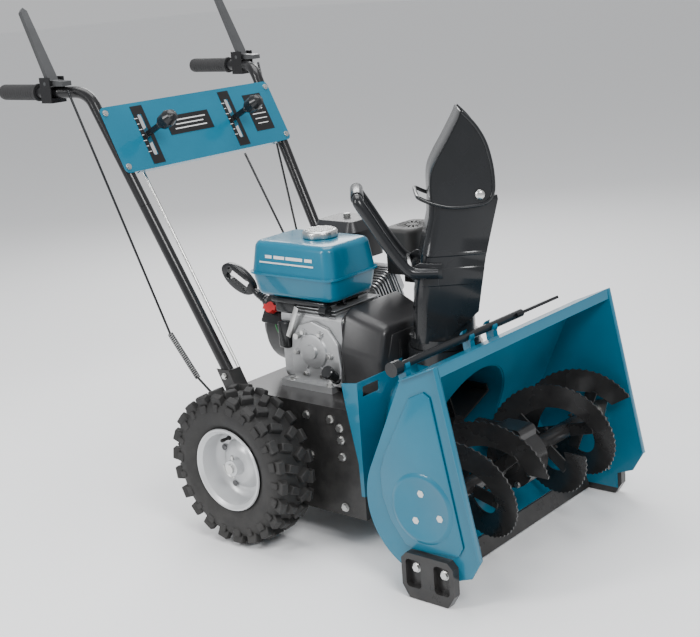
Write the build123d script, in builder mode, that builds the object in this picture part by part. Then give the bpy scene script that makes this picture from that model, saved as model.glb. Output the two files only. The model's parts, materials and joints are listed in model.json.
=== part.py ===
from build123d import *
from math import atan2, cos, degrees, hypot, pi, radians, sin
import os

os.makedirs("parts", exist_ok=True)

# ---------------------------------------------------------------- driving dimensions (mm, degrees)
# Frame: +Z up from the ground, the auger end faces -Y, the operator stands at +Y, and the operator's
# right hand is at -X. Places are given from the wheel axle: y grows rearwards, z grows upwards.
FRONT_REACH = 609.0          # axle to the lowest front corner of the auger housing
REAR_REACH = 629.0           # axle to the end of the grips
AXLE_Y = (FRONT_REACH - REAR_REACH) / 2

RUN_GAP = 0.05               # radial clearance of a shaft in its bush
FREE_GAP = 1.0               # air between pieces that pass each other
HOLE_GAP = 0.3               # radial clearance of a bolt in its hole

TYRE_R = 165.0
TYRE_WIDTH = 104.0
LUG_DEPTH = 15.0
LUG_COUNT = 22
WHEEL_X = 280.0              # middle plane of the tyre
RIM_R = 76.0                 # bead seat
RIM_FLANGE_R = 88.0
RIM_HALF = 44.0
RIM_SHEET = 3.0
AXLE_R = 9.5
AXLE_Z = TYRE_R

CHASSIS_HALF = 190.0
CHASSIS_TOP = 288.0
CHASSIS_BOTTOM = 58.0
CHASSIS_REAR = 100.0
CHASSIS_FRONT = -250.0
SHEET = 2.5

CRANK_Z = 392.0
CRANKCASE_RIGHT = -103.0
CRANKCASE_LEFT = 60.0
CRANKCASE_FRONT = -145.0
CRANKCASE_REAR = 22.0
CRANKCASE_TOP = 452.0
CRANK_R = 10.0
CYLINDER_TILT = 25.0
CYLINDER_Y = -55.0

FOOT_OUT = 22.0              # how far the engine's foot stands out each side
BASE_BOLTS = [(x, y) for x in (CRANKCASE_RIGHT - 11, CRANKCASE_LEFT + 11) for y in (-112, -8)]

TANK_RIGHT = -127.0
TANK_LEFT = 31.0
TANK_FRONT = -147.0
TANK_REAR = 84.0
TANK_BOTTOM = 480.0
TANK_SEAM = 531.0
TANK_TOP = 598.0
CAP_R = 38.0

HOUSING_HALF = 302.0         # outer face of the housing's side plates
AUGER_Y = -492.0
AUGER_Z = 176.0
AUGER_R = 117.0
AUGER_CLEAR = 21.0
TOP_FRONT = (-533.0, 456.0)
TOP_REAR = (-449.0, 420.0)
PLATE_NOSE = (-FRONT_REACH, 103.0)
PLATE_TOE = (-585.0, 62.0)
PLATE_BOTTOM = 48.0
WORM_LIFT = 44.0             # impeller shaft above the auger shaft
IMPELLER_R = 126.0
DRUM_R = 134.0
DRUM_REAR = -268.0
SKID_HEIGHT = 90.0
SKID_DEPTH = 18.0

CHUTE_Y = -331.0
CHUTE_FOOT_Z = 384.0
CHUTE_FOOT_R = 56.0
CHUTE_HALF = 62.0
CHUTE_WALL = 3.5
CHUTE_TURN = 40.0            # the chute points this far to the machine's left of straight ahead

TUBE_R = 12.5
TUBE_WALL = 2.0
HANDLE_FOOT = (205.5, 62.0, 280.0)
HANDLE_BEND = (254.0, 385.0, 924.0)
GRIP_START = (290.0, 452.0, 927.0)
HANDLE_SPLIT_Z = 683.0       # where the upper tube slips over the lower one
GRIP_R = 17.0
GRIP_LENGTH = 128.0
LEVER_LENGTH = 165.0
PANEL_HALF = 258.0
PANEL_LOW_Z = 748.0
PANEL_HIGH_Z = 884.0

# ---------------------------------------------------------------- derived values and base planes
GROUND = Plane(origin=(0, AXLE_Y, 0))
SIDE = Plane(origin=(0, AXLE_Y, 0), x_dir=(0, 1, 0), z_dir=(1, 0, 0))
FRONT = Plane(origin=(0, AXLE_Y, 0), x_dir=(1, 0, 0), z_dir=(0, -1, 0))
AXLE_LINE = Axis((0, AXLE_Y, AXLE_Z), (1, 0, 0))
IMPELLER_Z = AUGER_Z + WORM_LIFT
SHELL_R = AUGER_R + AUGER_CLEAR
SIDES = (("right", -1), ("left", 1))


def spot(x, y, z):
    """A point of the machine, with y counted from the axle."""
    return Vector(x, AXLE_Y + y, z)


def facing(point, normal, x_dir=(1, 0, 0)):
    """A work plane at a point of the machine, looking along a direction."""
    return Plane(origin=spot(*point), x_dir=x_dir, z_dir=normal)


def hex_bolts(places, shank_r, shank_length):
    """Flanged hexagon bolts standing on work planes, each shank running back into its hole."""
    with BuildPart() as bolts:
        with BuildSketch(*places):
            Circle(shank_r * 2.3)
        extrude(amount=shank_r * 0.5)
        with BuildSketch(*places):
            RegularPolygon(radius=shank_r * 1.85, side_count=6)
        extrude(amount=shank_r * 1.5)
        with BuildSketch(*places):
            Circle(shank_r)
        extrude(amount=-shank_length)
    return bolts


def drill(places, radius, depth):
    """Cut round holes along the normals of work planes, both ways from each plane."""
    with Locations(*places):
        Cylinder(radius, 2 * depth, mode=Mode.SUBTRACT)


# ---------------------------------------------------------------- wheels and axle
LUG_R = TYRE_R - LUG_DEPTH


def wheel_plane(sign):
    """Cross-section plane of one wheel: local x runs outwards, local y is the radius."""
    return Plane(origin=spot(sign * WHEEL_X, 0, AXLE_Z), x_dir=(sign, 0, 0), z_dir=(0, -sign, 0))


for side, sign in SIDES:
    half = TYRE_WIDTH / 2
    with BuildPart() as tyre:
        with BuildSketch(wheel_plane(sign)):
            with BuildLine():
                Polyline((-32, RIM_R), (-46, RIM_R + 26), (-46, LUG_R - 22), (-30, LUG_R), (30, LUG_R),
                         (46, LUG_R - 22), (46, RIM_R + 26), (32, RIM_R), close=True)
            make_face()
            with BuildLine():
                Polyline((-24, RIM_R), (-37, RIM_R + 26), (-37, LUG_R - 24), (-25, LUG_R - 9),
                         (25, LUG_R - 9), (37, LUG_R - 24), (37, RIM_R + 26), (24, RIM_R), close=True)
            make_face(mode=Mode.SUBTRACT)
        revolve(axis=AXLE_LINE)
        for start, turn in ((6, 0), (-half, 180 / LUG_COUNT)):
            with BuildSketch(Plane(origin=spot(sign * WHEEL_X + start, 0, AXLE_Z), z_dir=(1, 0, 0))):
                with PolarLocations(LUG_R + LUG_DEPTH / 2 - 4, LUG_COUNT, start_angle=turn):
                    Rectangle(LUG_DEPTH + 8, 21)
            extrude(amount=half - 6)
        with BuildSketch(Plane(origin=spot(sign * WHEEL_X - half, 0, AXLE_Z), z_dir=(1, 0, 0))):
            Circle(TYRE_R + 20)
            Circle(TYRE_R, mode=Mode.SUBTRACT)
        extrude(amount=TYRE_WIDTH, mode=Mode.SUBTRACT)
    tyre.part.label = f"tyre_{side}"
    export_step(tyre.part, f"parts/tyre_{side}.step")

    with BuildPart() as rim:
        with BuildSketch(wheel_plane(sign)):
            with Locations((0, RIM_R - RIM_SHEET / 2)):
                Rectangle(2 * RIM_HALF, RIM_SHEET)
            for u in (-RIM_HALF, RIM_HALF):
                with Locations((u, (RIM_R - RIM_SHEET + RIM_FLANGE_R) / 2)):
                    Rectangle(RIM_SHEET, RIM_FLANGE_R - RIM_R + RIM_SHEET)
            with Locations((0, AXLE_R + RUN_GAP + 4)):
                Rectangle(72, 8)
            with BuildLine():
                Polyline((6, AXLE_R + 4), (6, 34), (-4, 52), (-4, RIM_R - 1), (-7, RIM_R - 1), (-7, 51),
                         (3, 33), (3, AXLE_R + 4), close=True)
            make_face()
        revolve(axis=AXLE_LINE)
        drill([facing((sign * (WHEEL_X + 28), 0, AXLE_Z), (0, 0, 1))], 3.0 + HOLE_GAP, 40)
        drill([facing((sign * WHEEL_X, 22, AXLE_Z + 56), (1, 0, 0), (0, 1, 0))], 4.0, 20)
    rim.part.label = f"wheel_rim_{side}"
    export_step(rim.part, f"parts/wheel_rim_{side}.step")

HUB_PIN_X = WHEEL_X + 28
with BuildPart() as drive_axle:
    with BuildSketch(SIDE.offset(-HUB_PIN_X - 12)):
        with Locations((0, AXLE_Z)):
            Circle(AXLE_R)
    extrude(amount=2 * HUB_PIN_X + 24)
    pin_places = [facing((sign * HUB_PIN_X, 0, AXLE_Z), (0, 0, 1)) for _, sign in SIDES]
    drill(pin_places, 3.0 + HOLE_GAP, 40)
drive_axle.part.label = "drive_axle"
export_step(drive_axle.part, "parts/drive_axle.step")

# A bent-wire lock pin through each hub: a straight leg with a round loop outside.
with BuildPart() as klik_pins:
    with BuildSketch(*[facing((sign * HUB_PIN_X, 0, AXLE_Z - 22), (0, 0, 1)) for _, sign in SIDES]):
        Circle(3.0)
    extrude(amount=48)
    for _, sign in SIDES:
        loop_middle = spot(sign * (HUB_PIN_X + 3), 0, AXLE_Z + 3)
        with BuildSketch(Plane(origin=loop_middle + Vector(0, 23, 0), x_dir=(0, 1, 0), z_dir=(0, 0, 1))):
            Circle(1.8)
        revolve(axis=Axis(loop_middle, (1, 0, 0)), revolution_arc=-90 if sign < 0 else 90)
klik_pins.part.label = "klik_pins"
export_step(klik_pins.part, "parts/klik_pins.step")

# ---------------------------------------------------------------- gears of the wheel drive
GEAR_MODULE = 3.0
PINION_TEETH = 14
AXLE_GEAR_TEETH = 38
GEAR_WIDTH = 14.0
GEAR_X = 150.0
GEAR_DISTANCE = GEAR_MODULE * (PINION_TEETH + AXLE_GEAR_TEETH) / 2
GEAR_ANGLE = 140.0           # direction from the axle to the hex shaft, seen from +X, 0 is rearwards
HEX_Y = GEAR_DISTANCE * cos(radians(GEAR_ANGLE))
HEX_Z = AXLE_Z + GEAR_DISTANCE * sin(radians(GEAR_ANGLE))
HEX_R = 9.0
BUSH_WALL = 6.0


def gear_blank(teeth, middle, bore, first_angle):
    """A spur gear with straight-flanked teeth, thin enough at the pitch circle to leave backlash."""
    pitch_r = GEAR_MODULE * teeth / 2
    root_r = pitch_r - 1.3 * GEAR_MODULE
    tip_r = pitch_r + 0.85 * GEAR_MODULE
    with BuildSketch(Plane(origin=middle, x_dir=(0, 1, 0), z_dir=(1, 0, 0))) as outline:
        Circle(root_r)
        with PolarLocations(0, teeth, start_angle=first_angle):
            with BuildLine():
                Polyline((root_r - 1, 2.3), (pitch_r, 1.9), (tip_r, 1.0), (tip_r, -1.0), (pitch_r, -1.9),
                         (root_r - 1, -2.3), close=True)
            make_face()
        Circle(bore, mode=Mode.SUBTRACT)
    return outline.sketch


with BuildPart() as axle_gear:
    extrude(gear_blank(AXLE_GEAR_TEETH, spot(GEAR_X, 0, AXLE_Z), AXLE_R, GEAR_ANGLE), amount=GEAR_WIDTH)
axle_gear.part.label = "axle_gear"
export_step(axle_gear.part, "parts/axle_gear.step")

with BuildPart() as hex_shaft:
    with BuildSketch(Plane(origin=spot(-CHASSIS_HALF + 20, HEX_Y, HEX_Z), z_dir=(1, 0, 0))):
        RegularPolygon(radius=HEX_R, side_count=6)
    extrude(amount=GEAR_X + CHASSIS_HALF - 20)
    with BuildSketch(Plane(origin=spot(-CHASSIS_HALF - 4, HEX_Y, HEX_Z), z_dir=(1, 0, 0))):
        Circle(HEX_R - 2)
    extrude(amount=2 * CHASSIS_HALF + 8)
    extrude(gear_blank(PINION_TEETH, spot(GEAR_X, HEX_Y, HEX_Z), HEX_R - 3,
                       GEAR_ANGLE + 180 + 180 / PINION_TEETH), amount=GEAR_WIDTH)
hex_shaft.part.label = "hex_shaft"
export_step(hex_shaft.part, "parts/hex_shaft.step")

FRICTION_WHEEL_R = 54.0
with BuildPart() as friction_wheel:
    with BuildSketch(Plane(origin=spot(-48, HEX_Y, HEX_Z), z_dir=(1, 0, 0))):
        Circle(FRICTION_WHEEL_R)
        Circle(14, mode=Mode.SUBTRACT)
    extrude(amount=10)
    with BuildSketch(Plane(origin=spot(-62, HEX_Y, HEX_Z), z_dir=(1, 0, 0))):
        Circle(19)
        Circle(HEX_R + 0.6, mode=Mode.SUBTRACT)
    extrude(amount=40)
friction_wheel.part.label = "friction_wheel"
export_step(friction_wheel.part, "parts/friction_wheel.step")

PLATE_FACE_Y = HEX_Y - FRICTION_WHEEL_R - 1.5
PLATE_R = 64.0
DRIVE_PULLEY_Y = -166.0      # middle plane of the wheel-drive belt
AUGER_PULLEY_Y = -208.0      # middle plane of the auger belt
BELT_WIDTH = 12.0
BELT_HEIGHT = 8.0


def pulley_profile(outer_r, bore):
    """Half section of a V-belt pulley: local x along the shaft from the belt plane, local y radius."""
    flank = BELT_WIDTH / 2 + 1.0
    return [(-flank - 3, bore), (-flank - 3, outer_r), (-flank, outer_r), (-flank + 3, outer_r - 12),
            (flank - 3, outer_r - 12), (flank, outer_r), (flank + 3, outer_r), (flank + 3, bore)]


def shaft_plane(y, z):
    """Section plane through a fore-and-aft shaft: local x rearwards, local y the radius (upwards)."""
    return Plane(origin=spot(0, y, z), x_dir=(0, 1, 0), z_dir=(1, 0, 0))


def shaft_line(z):
    """The axis of a fore-and-aft shaft at a height."""
    return Axis(spot(0, 0, z), (0, 1, 0))


DISC_PULLEY_R = 66.0
with BuildPart() as friction_plate:
    with BuildSketch(shaft_plane(PLATE_FACE_Y, HEX_Z)):
        with BuildLine():
            Polyline((0, 0), (0, PLATE_R), (-8, PLATE_R), (-8, 18), (-20, 16), (-20, 8.5), (-60, 8.5),
                     (-60, 0), close=True)
        make_face()
    revolve(axis=shaft_line(HEX_Z))
    with BuildSketch(shaft_plane(DRIVE_PULLEY_Y, HEX_Z)):
        with BuildLine():
            Polyline(*pulley_profile(DISC_PULLEY_R, 6), close=True)
        make_face()
    revolve(axis=shaft_line(HEX_Z))
friction_plate.part.label = "friction_plate"
export_step(friction_plate.part, "parts/friction_plate.step")

# ---------------------------------------------------------------- chassis
BEARING_WALL_Y = PLATE_FACE_Y - 32
ROD_FOOT = (-166.0, 66.0, 264.0)    # lower end of the speed rod, inside the chassis
ROD_HOLE = (-166.0, 79.5)
SIDE_BOLTS = ((-108, 262), (-112, 176), (-172, 262), (-196, 247), (-198, 222), (-198, 186), (-196, 76))
BOTTOM_BOLTS = [(x, y) for x in (-165, 165) for y in (-210, -60, 70)]

with BuildPart() as bearing_wall:
    with BuildSketch(FRONT.offset(-BEARING_WALL_Y)):
        with Locations((0, (CHASSIS_TOP + CHASSIS_BOTTOM) / 2)):
            Rectangle(2 * CHASSIS_HALF - 2 * SHEET, CHASSIS_TOP - CHASSIS_BOTTOM - 2 * SHEET)
        with Locations((0, HEX_Z)):
            Circle(8.5 + BUSH_WALL, mode=Mode.SUBTRACT)
    extrude(amount=SHEET)
    with BuildSketch(FRONT.offset(-BEARING_WALL_Y - 4)):
        with Locations((0, HEX_Z)):
            Circle(8.5 + BUSH_WALL)
            Circle(8.5 + RUN_GAP, mode=Mode.SUBTRACT)
    extrude(amount=12)

with BuildPart() as bottom_cover:
    with BuildSketch(GROUND.offset(CHASSIS_BOTTOM - SHEET)):
        with Locations((0, (CHASSIS_FRONT + CHASSIS_REAR) / 2)):
            Rectangle(2 * CHASSIS_HALF - 6, CHASSIS_REAR - CHASSIS_FRONT - 6)
    extrude(amount=SHEET)

# Channels for the handle's feet, welded to the chassis sides and open to the rear.
BAR_RISE = (HANDLE_BEND[1] - HANDLE_FOOT[1]) / (HANDLE_BEND[2] - HANDLE_FOOT[2])
BRACKET_HALF = 20.0
BRACKET_LOW = 232.0
BRACKET_HIGH = 340.0
BRACKET_DEPTH = 35.0
FOOT_BOLT_Z = (262.0, 326.0)


def bar_y(z):
    """Fore-and-aft place of the handle's centre line at a height."""
    return HANDLE_FOOT[1] + (z - HANDLE_FOOT[2]) * BAR_RISE


foot_bolt_places = [facing((sign * (CHASSIS_HALF + BRACKET_DEPTH), bar_y(z), z), (sign, 0, 0), (0, 1, 0))
                    for _, sign in SIDES for z in FOOT_BOLT_Z]
with BuildPart() as handle_brackets:
    for _, sign in SIDES:
        for depth, front, rear, mode in ((BRACKET_DEPTH, -BRACKET_HALF, BRACKET_HALF - 4, Mode.ADD),
                                         (BRACKET_DEPTH - 2, -BRACKET_HALF + SHEET, BRACKET_HALF, Mode.SUBTRACT)):
            with BuildSketch(SIDE.offset(sign * CHASSIS_HALF)):
                with BuildLine():
                    Polyline((bar_y(BRACKET_LOW) + front, BRACKET_LOW), (bar_y(BRACKET_LOW) + rear, BRACKET_LOW),
                             (bar_y(BRACKET_HIGH) + rear, BRACKET_HIGH),
                             (bar_y(BRACKET_HIGH) + front, BRACKET_HIGH), close=True)
                make_face()
            extrude(amount=sign * depth, mode=mode)

with BuildPart() as chassis_frame:
    with BuildSketch(GROUND.offset(CHASSIS_BOTTOM)):
        with Locations((0, (CHASSIS_FRONT + CHASSIS_REAR) / 2)):
            Rectangle(2 * CHASSIS_HALF, CHASSIS_REAR - CHASSIS_FRONT)
    extrude(amount=CHASSIS_TOP - CHASSIS_BOTTOM)
    with BuildSketch(GROUND.offset(CHASSIS_BOTTOM)):
        with Locations((0, (CHASSIS_FRONT + CHASSIS_REAR) / 2)):
            Rectangle(2 * CHASSIS_HALF - 2 * SHEET, CHASSIS_REAR - CHASSIS_FRONT - 2 * SHEET)
    extrude(amount=CHASSIS_TOP - CHASSIS_BOTTOM - SHEET, mode=Mode.SUBTRACT)
    with BuildSketch(GROUND.offset(CHASSIS_BOTTOM)):
        with Locations((0, (CHASSIS_FRONT + CHASSIS_REAR) / 2)):
            Rectangle(2 * CHASSIS_HALF - 2 * SHEET, CHASSIS_REAR - CHASSIS_FRONT - 2 * SHEET)
            Rectangle(2 * CHASSIS_HALF - 40, CHASSIS_REAR - CHASSIS_FRONT - 40, mode=Mode.SUBTRACT)
    extrude(amount=SHEET)
    with BuildSketch(GROUND.offset(CHASSIS_TOP)):
        with Locations((0, (CHASSIS_FRONT + DRIVE_PULLEY_Y + 18) / 2 + 8)):
            Rectangle(2 * DRUM_R - 60, DRIVE_PULLEY_Y + 2 - CHASSIS_FRONT)
    extrude(amount=-10, mode=Mode.SUBTRACT)
    with BuildSketch(SIDE.offset(-CHASSIS_HALF)):
        with Locations((0, AXLE_Z)):
            Circle(AXLE_R + BUSH_WALL)
        with Locations((HEX_Y, HEX_Z)):
            Circle(HEX_R - 2 + BUSH_WALL)
    extrude(amount=2 * CHASSIS_HALF, mode=Mode.SUBTRACT)
    add(bearing_wall.part)
    add(bottom_cover.part)
    add(handle_brackets.part)
    drill(foot_bolt_places, 3 + HOLE_GAP, 45)
    drill([facing((0, CHASSIS_FRONT, IMPELLER_Z), (0, 1, 0))], 27, 10)
    side_places = [facing((sign * CHASSIS_HALF, y, z), (sign, 0, 0), (0, 1, 0))
                   for _, sign in SIDES for y, z in SIDE_BOLTS]
    drill(side_places, 4 + HOLE_GAP, 12)
    drill([facing((x, y, CHASSIS_BOTTOM), (0, 0, -1)) for x, y in BOTTOM_BOLTS], 3 + HOLE_GAP, 8)
    drill([facing((x, y, CHASSIS_TOP), (0, 0, 1)) for x, y in BASE_BOLTS], 4 + HOLE_GAP, 8)
    drill([facing((*ROD_HOLE, CHASSIS_TOP), (0, 0, 1))], 10, 8)
chassis_frame.part.label = "chassis_frame"
export_step(chassis_frame.part, "parts/chassis_frame.step")

with BuildPart() as shaft_bushings:
    for _, sign in SIDES:
        base = Plane(origin=spot(sign * (CHASSIS_HALF - SHEET - 6), 0, 0), x_dir=(0, 1, 0), z_dir=(1, 0, 0))
        with BuildSketch(base):
            with Locations((0, AXLE_Z)):
                Circle(AXLE_R + BUSH_WALL)
                Circle(AXLE_R + RUN_GAP, mode=Mode.SUBTRACT)
            with Locations((HEX_Y, HEX_Z)):
                Circle(HEX_R - 2 + BUSH_WALL)
                Circle(HEX_R - 2 + RUN_GAP, mode=Mode.SUBTRACT)
        extrude(amount=sign * (SHEET + 10))
shaft_bushings.part.label = "shaft_bushings"
export_step(shaft_bushings.part, "parts/shaft_bushings.step")


# ---------------------------------------------------------------- engine block
CASE_WALL = 7.0
CASE_MIDDLE_X = (CRANKCASE_LEFT + CRANKCASE_RIGHT) / 2
CASE_COVER = 20.0            # depth of the cover on the shaft side
CASE_COVER_Y = CRANKCASE_FRONT + CASE_COVER
CRANK_BOSS_R = 24.0
TILT = (cos(radians(CYLINDER_TILT)), 0, sin(radians(CYLINDER_TILT)))
CASE_BOLTS = [(x, z) for x in (CRANKCASE_RIGHT + 12, CRANKCASE_LEFT - 12)
              for z in (CHASSIS_TOP + 32, CRANKCASE_TOP - 14)]


def bore_plane(distance):
    """Plane across the tilted cylinder at a distance from the crankshaft."""
    return Plane(origin=spot(TILT[0] * distance, CYLINDER_Y, CRANK_Z + TILT[2] * distance), x_dir=(0, 1, 0),
                 z_dir=TILT)


with BuildPart() as crankcase_cover:
    with BuildSketch(FRONT.offset(-CASE_COVER_Y)):
        with Locations((CASE_MIDDLE_X, (CRANKCASE_TOP + CHASSIS_TOP + 12) / 2)):
            RectangleRounded(CRANKCASE_LEFT - CRANKCASE_RIGHT, CRANKCASE_TOP - CHASSIS_TOP - 12, 16)
    extrude(amount=CASE_COVER)
    with BuildSketch(FRONT.offset(-CASE_COVER_Y)):
        with Locations((CASE_MIDDLE_X, (CRANKCASE_TOP + CHASSIS_TOP + 12) / 2)):
            RectangleRounded(CRANKCASE_LEFT - CRANKCASE_RIGHT - 4 * CASE_WALL,
                             CRANKCASE_TOP - CHASSIS_TOP - 12 - 4 * CASE_WALL, 8)
    extrude(amount=CASE_COVER - CASE_WALL, mode=Mode.SUBTRACT)
    with BuildSketch(FRONT.offset(-CRANKCASE_FRONT - CASE_WALL)):
        with Locations((0, CRANK_Z)):
            Circle(CRANK_R + RUN_GAP)
    extrude(amount=CASE_WALL, mode=Mode.SUBTRACT)
    drill([facing((x, CRANKCASE_FRONT, z), (0, -1, 0)) for x, z in CASE_BOLTS], 3 + HOLE_GAP, 30)

with BuildPart() as tank_brackets:
    for x, y in ((-82, -92), (-82, 4), (22, -92)):
        with BuildSketch(GROUND.offset(CRANKCASE_TOP)):
            with Locations((x, y)):
                RectangleRounded(34, 30, 6)
        extrude(amount=TANK_BOTTOM - CRANKCASE_TOP)

with BuildPart() as crankcase:
    with BuildSketch(FRONT.offset(-CRANKCASE_REAR)):
        with Locations((CASE_MIDDLE_X, (CRANKCASE_TOP + CHASSIS_TOP + 12) / 2)):
            RectangleRounded(CRANKCASE_LEFT - CRANKCASE_RIGHT, CRANKCASE_TOP - CHASSIS_TOP - 12, 16)
    extrude(amount=CRANKCASE_REAR - CASE_COVER_Y)
    with BuildSketch(GROUND.offset(CHASSIS_TOP)):
        with Locations((CASE_MIDDLE_X, (CRANKCASE_REAR + CASE_COVER_Y) / 2 - 3)):
            Rectangle(CRANKCASE_LEFT - CRANKCASE_RIGHT + 2 * FOOT_OUT, CRANKCASE_REAR - CASE_COVER_Y - 6)
    extrude(amount=14)
    with BuildSketch(FRONT.offset(-CRANKCASE_REAR + CASE_WALL)):
        with Locations((CASE_MIDDLE_X, (CRANKCASE_TOP + CHASSIS_TOP + 12) / 2)):
            RectangleRounded(CRANKCASE_LEFT - CRANKCASE_RIGHT - 2 * CASE_WALL,
                             CRANKCASE_TOP - CHASSIS_TOP - 12 - 2 * CASE_WALL, 10)
    extrude(amount=CRANKCASE_REAR - CASE_COVER_Y, mode=Mode.SUBTRACT)
    with BuildSketch(FRONT.offset(-CRANKCASE_REAR)):
        with Locations((0, CRANK_Z)):
            Circle(CRANK_BOSS_R)
    extrude(amount=CASE_WALL)
    with BuildSketch(FRONT.offset(-CRANKCASE_REAR)):
        with Locations((0, CRANK_Z)):
            Circle(CRANK_R + RUN_GAP)
    extrude(amount=CASE_WALL, mode=Mode.SUBTRACT)
    with BuildSketch(bore_plane(40)):
        Circle(36)
    extrude(amount=60, mode=Mode.SUBTRACT)
    add(crankcase_cover.part)
    add(tank_brackets.part)
    drill([facing((x, y, CHASSIS_TOP + 14), (0, 0, 1)) for x, y in BASE_BOLTS], 4 + HOLE_GAP, 18)
    drill([facing((x, CASE_COVER_Y, z), (0, -1, 0)) for x, z in CASE_BOLTS], 3 + HOLE_GAP, 4)
crankcase.part.label = "crankcase"
export_step(crankcase.part, "parts/crankcase.step")

CYLINDER_FOOT = 76.0         # distance from the crankshaft at which each piece of the cylinder starts
HEAD_START = 140.0
ROCKER_START = 166.0
FIN_HALF = 52.0
with BuildPart() as cylinder:
    with BuildSketch(bore_plane(CYLINDER_FOOT)):
        Circle(39)
    extrude(amount=HEAD_START - CYLINDER_FOOT)
    with BuildSketch(*[bore_plane(84 + 9 * step) for step in range(6)]):
        RectangleRounded(2 * FIN_HALF, 2 * FIN_HALF - 10, 12)
    extrude(amount=3.5)
    with BuildSketch(bore_plane(0)):
        Circle(32)
    extrude(amount=HEAD_START, mode=Mode.SUBTRACT)
    split(bisect_by=Plane(origin=(CRANKCASE_LEFT, 0, 0), x_dir=(0, 1, 0), z_dir=(1, 0, 0)), keep=Keep.TOP)
cylinder.part.label = "cylinder"
export_step(cylinder.part, "parts/cylinder.step")

with BuildPart() as rocker_cover:
    with BuildSketch(bore_plane(ROCKER_START)):
        RectangleRounded(78, 72, 14)
    extrude(amount=22)
    fillet(rocker_cover.faces().sort_by(Axis((0, 0, 0), TILT))[-1].edges(), 5)
    with BuildSketch(bore_plane(ROCKER_START)):
        RectangleRounded(70, 64, 10)
    extrude(amount=18, mode=Mode.SUBTRACT)

with BuildPart() as cylinder_head:
    with BuildSketch(bore_plane(HEAD_START)):
        RectangleRounded(2 * FIN_HALF - 8, 2 * FIN_HALF - 16, 12)
    extrude(amount=ROCKER_START - HEAD_START)
    with BuildSketch(*[bore_plane(HEAD_START + 4 + 7 * step) for step in range(3)]):
        RectangleRounded(2 * FIN_HALF, 2 * FIN_HALF - 10, 12)
    extrude(amount=3)
    add(rocker_cover.part)
cylinder_head.part.label = "cylinder_head"
export_step(cylinder_head.part, "parts/cylinder_head.step")

FLYWHEEL_Y = 34.0
ENGINE_PULLEY_R = 36.0
with BuildPart() as crankshaft:
    with BuildSketch(shaft_plane(0, CRANK_Z)):
        with BuildLine():
            Polyline((-232, 0), (-232, CRANK_R - 1), (-146, CRANK_R - 1), (-146, CRANK_R), (-100, CRANK_R),
                     (-100, 16), (-84, 16), (-84, 14), (-26, 14), (-26, 16), (-10, 16), (-10, CRANK_R),
                     (FLYWHEEL_Y + 26, CRANK_R), (FLYWHEEL_Y + 26, 0), close=True)
        make_face()
    revolve(axis=shaft_line(CRANK_Z))
    for y in (-80, -42):
        with BuildSketch(FRONT.offset(-y)):
            with Locations((0, CRANK_Z)):
                SlotCenterToCenter(34, 36)
        extrude(amount=12)
crankshaft.part.label = "crankshaft"
export_step(crankshaft.part, "parts/crankshaft.step")

with BuildPart() as engine_pulley:
    for belt_y in (DRIVE_PULLEY_Y, AUGER_PULLEY_Y):
        with BuildSketch(shaft_plane(belt_y, CRANK_Z)):
            with BuildLine():
                Polyline(*pulley_profile(ENGINE_PULLEY_R, CRANK_R - 1), close=True)
            make_face()
        revolve(axis=shaft_line(CRANK_Z))
    with BuildSketch(shaft_plane((DRIVE_PULLEY_Y + AUGER_PULLEY_Y) / 2, CRANK_Z)):
        with Locations((0, (CRANK_R + 17) / 2)):
            Rectangle(DRIVE_PULLEY_Y - AUGER_PULLEY_Y - 16, 18 - CRANK_R)
    revolve(axis=shaft_line(CRANK_Z))
engine_pulley.part.label = "engine_pulley"
export_step(engine_pulley.part, "parts/engine_pulley.step")

with BuildPart() as flywheel:
    with BuildSketch(shaft_plane(FLYWHEEL_Y, CRANK_Z)):
        with BuildLine():
            Polyline((0, CRANK_R), (0, 72), (16, 72), (16, 56), (8, 52), (8, 26), (24, 24), (24, CRANK_R),
                     close=True)
        make_face()
    revolve(axis=shaft_line(CRANK_Z))
    with BuildSketch(FRONT.offset(-FLYWHEEL_Y - 30)):
        with Locations((0, CRANK_Z)):
            with PolarLocations(62, 16):
                Rectangle(14, 3)
    extrude(amount=16)
flywheel.part.label = "flywheel"
export_step(flywheel.part, "parts/flywheel.step")

# Fan housing behind the engine, closed by the recoil starter's slotted cover.
FAN_R = 86.0
FAN_REAR = 92.0
RECOIL_R = 64.0
RECOIL_REAR = 116.0
ROPE_EXIT = (-44.0, 106.0, 438.0)
GRIP_DIR = Vector(-0.05, 0.86, 0.50)
with BuildPart() as fan_housing:
    with BuildSketch(FRONT.offset(-FAN_REAR)):
        with Locations((0, CRANK_Z)):
            Circle(FAN_R)
        with Locations((30, CRANK_Z + 22)):
            RectangleRounded(128, 112, 26)
    extrude(amount=FAN_REAR - CRANKCASE_REAR - 0.5)
    fillet(fan_housing.faces().sort_by(Axis.Y)[-1].edges(), 8)
    with BuildSketch(FRONT.offset(-FAN_REAR + 2.5)):
        with Locations((0, CRANK_Z)):
            Circle(FAN_R - 10)
    extrude(amount=FAN_REAR, mode=Mode.SUBTRACT)
    with BuildSketch(FRONT.offset(-FAN_REAR - 5)):
        with Locations((0, CRANK_Z)):
            Circle(RECOIL_R - 12)
    extrude(amount=20, mode=Mode.SUBTRACT)
fan_housing.part.label = "fan_housing"
export_step(fan_housing.part, "parts/fan_housing.step")

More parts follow.
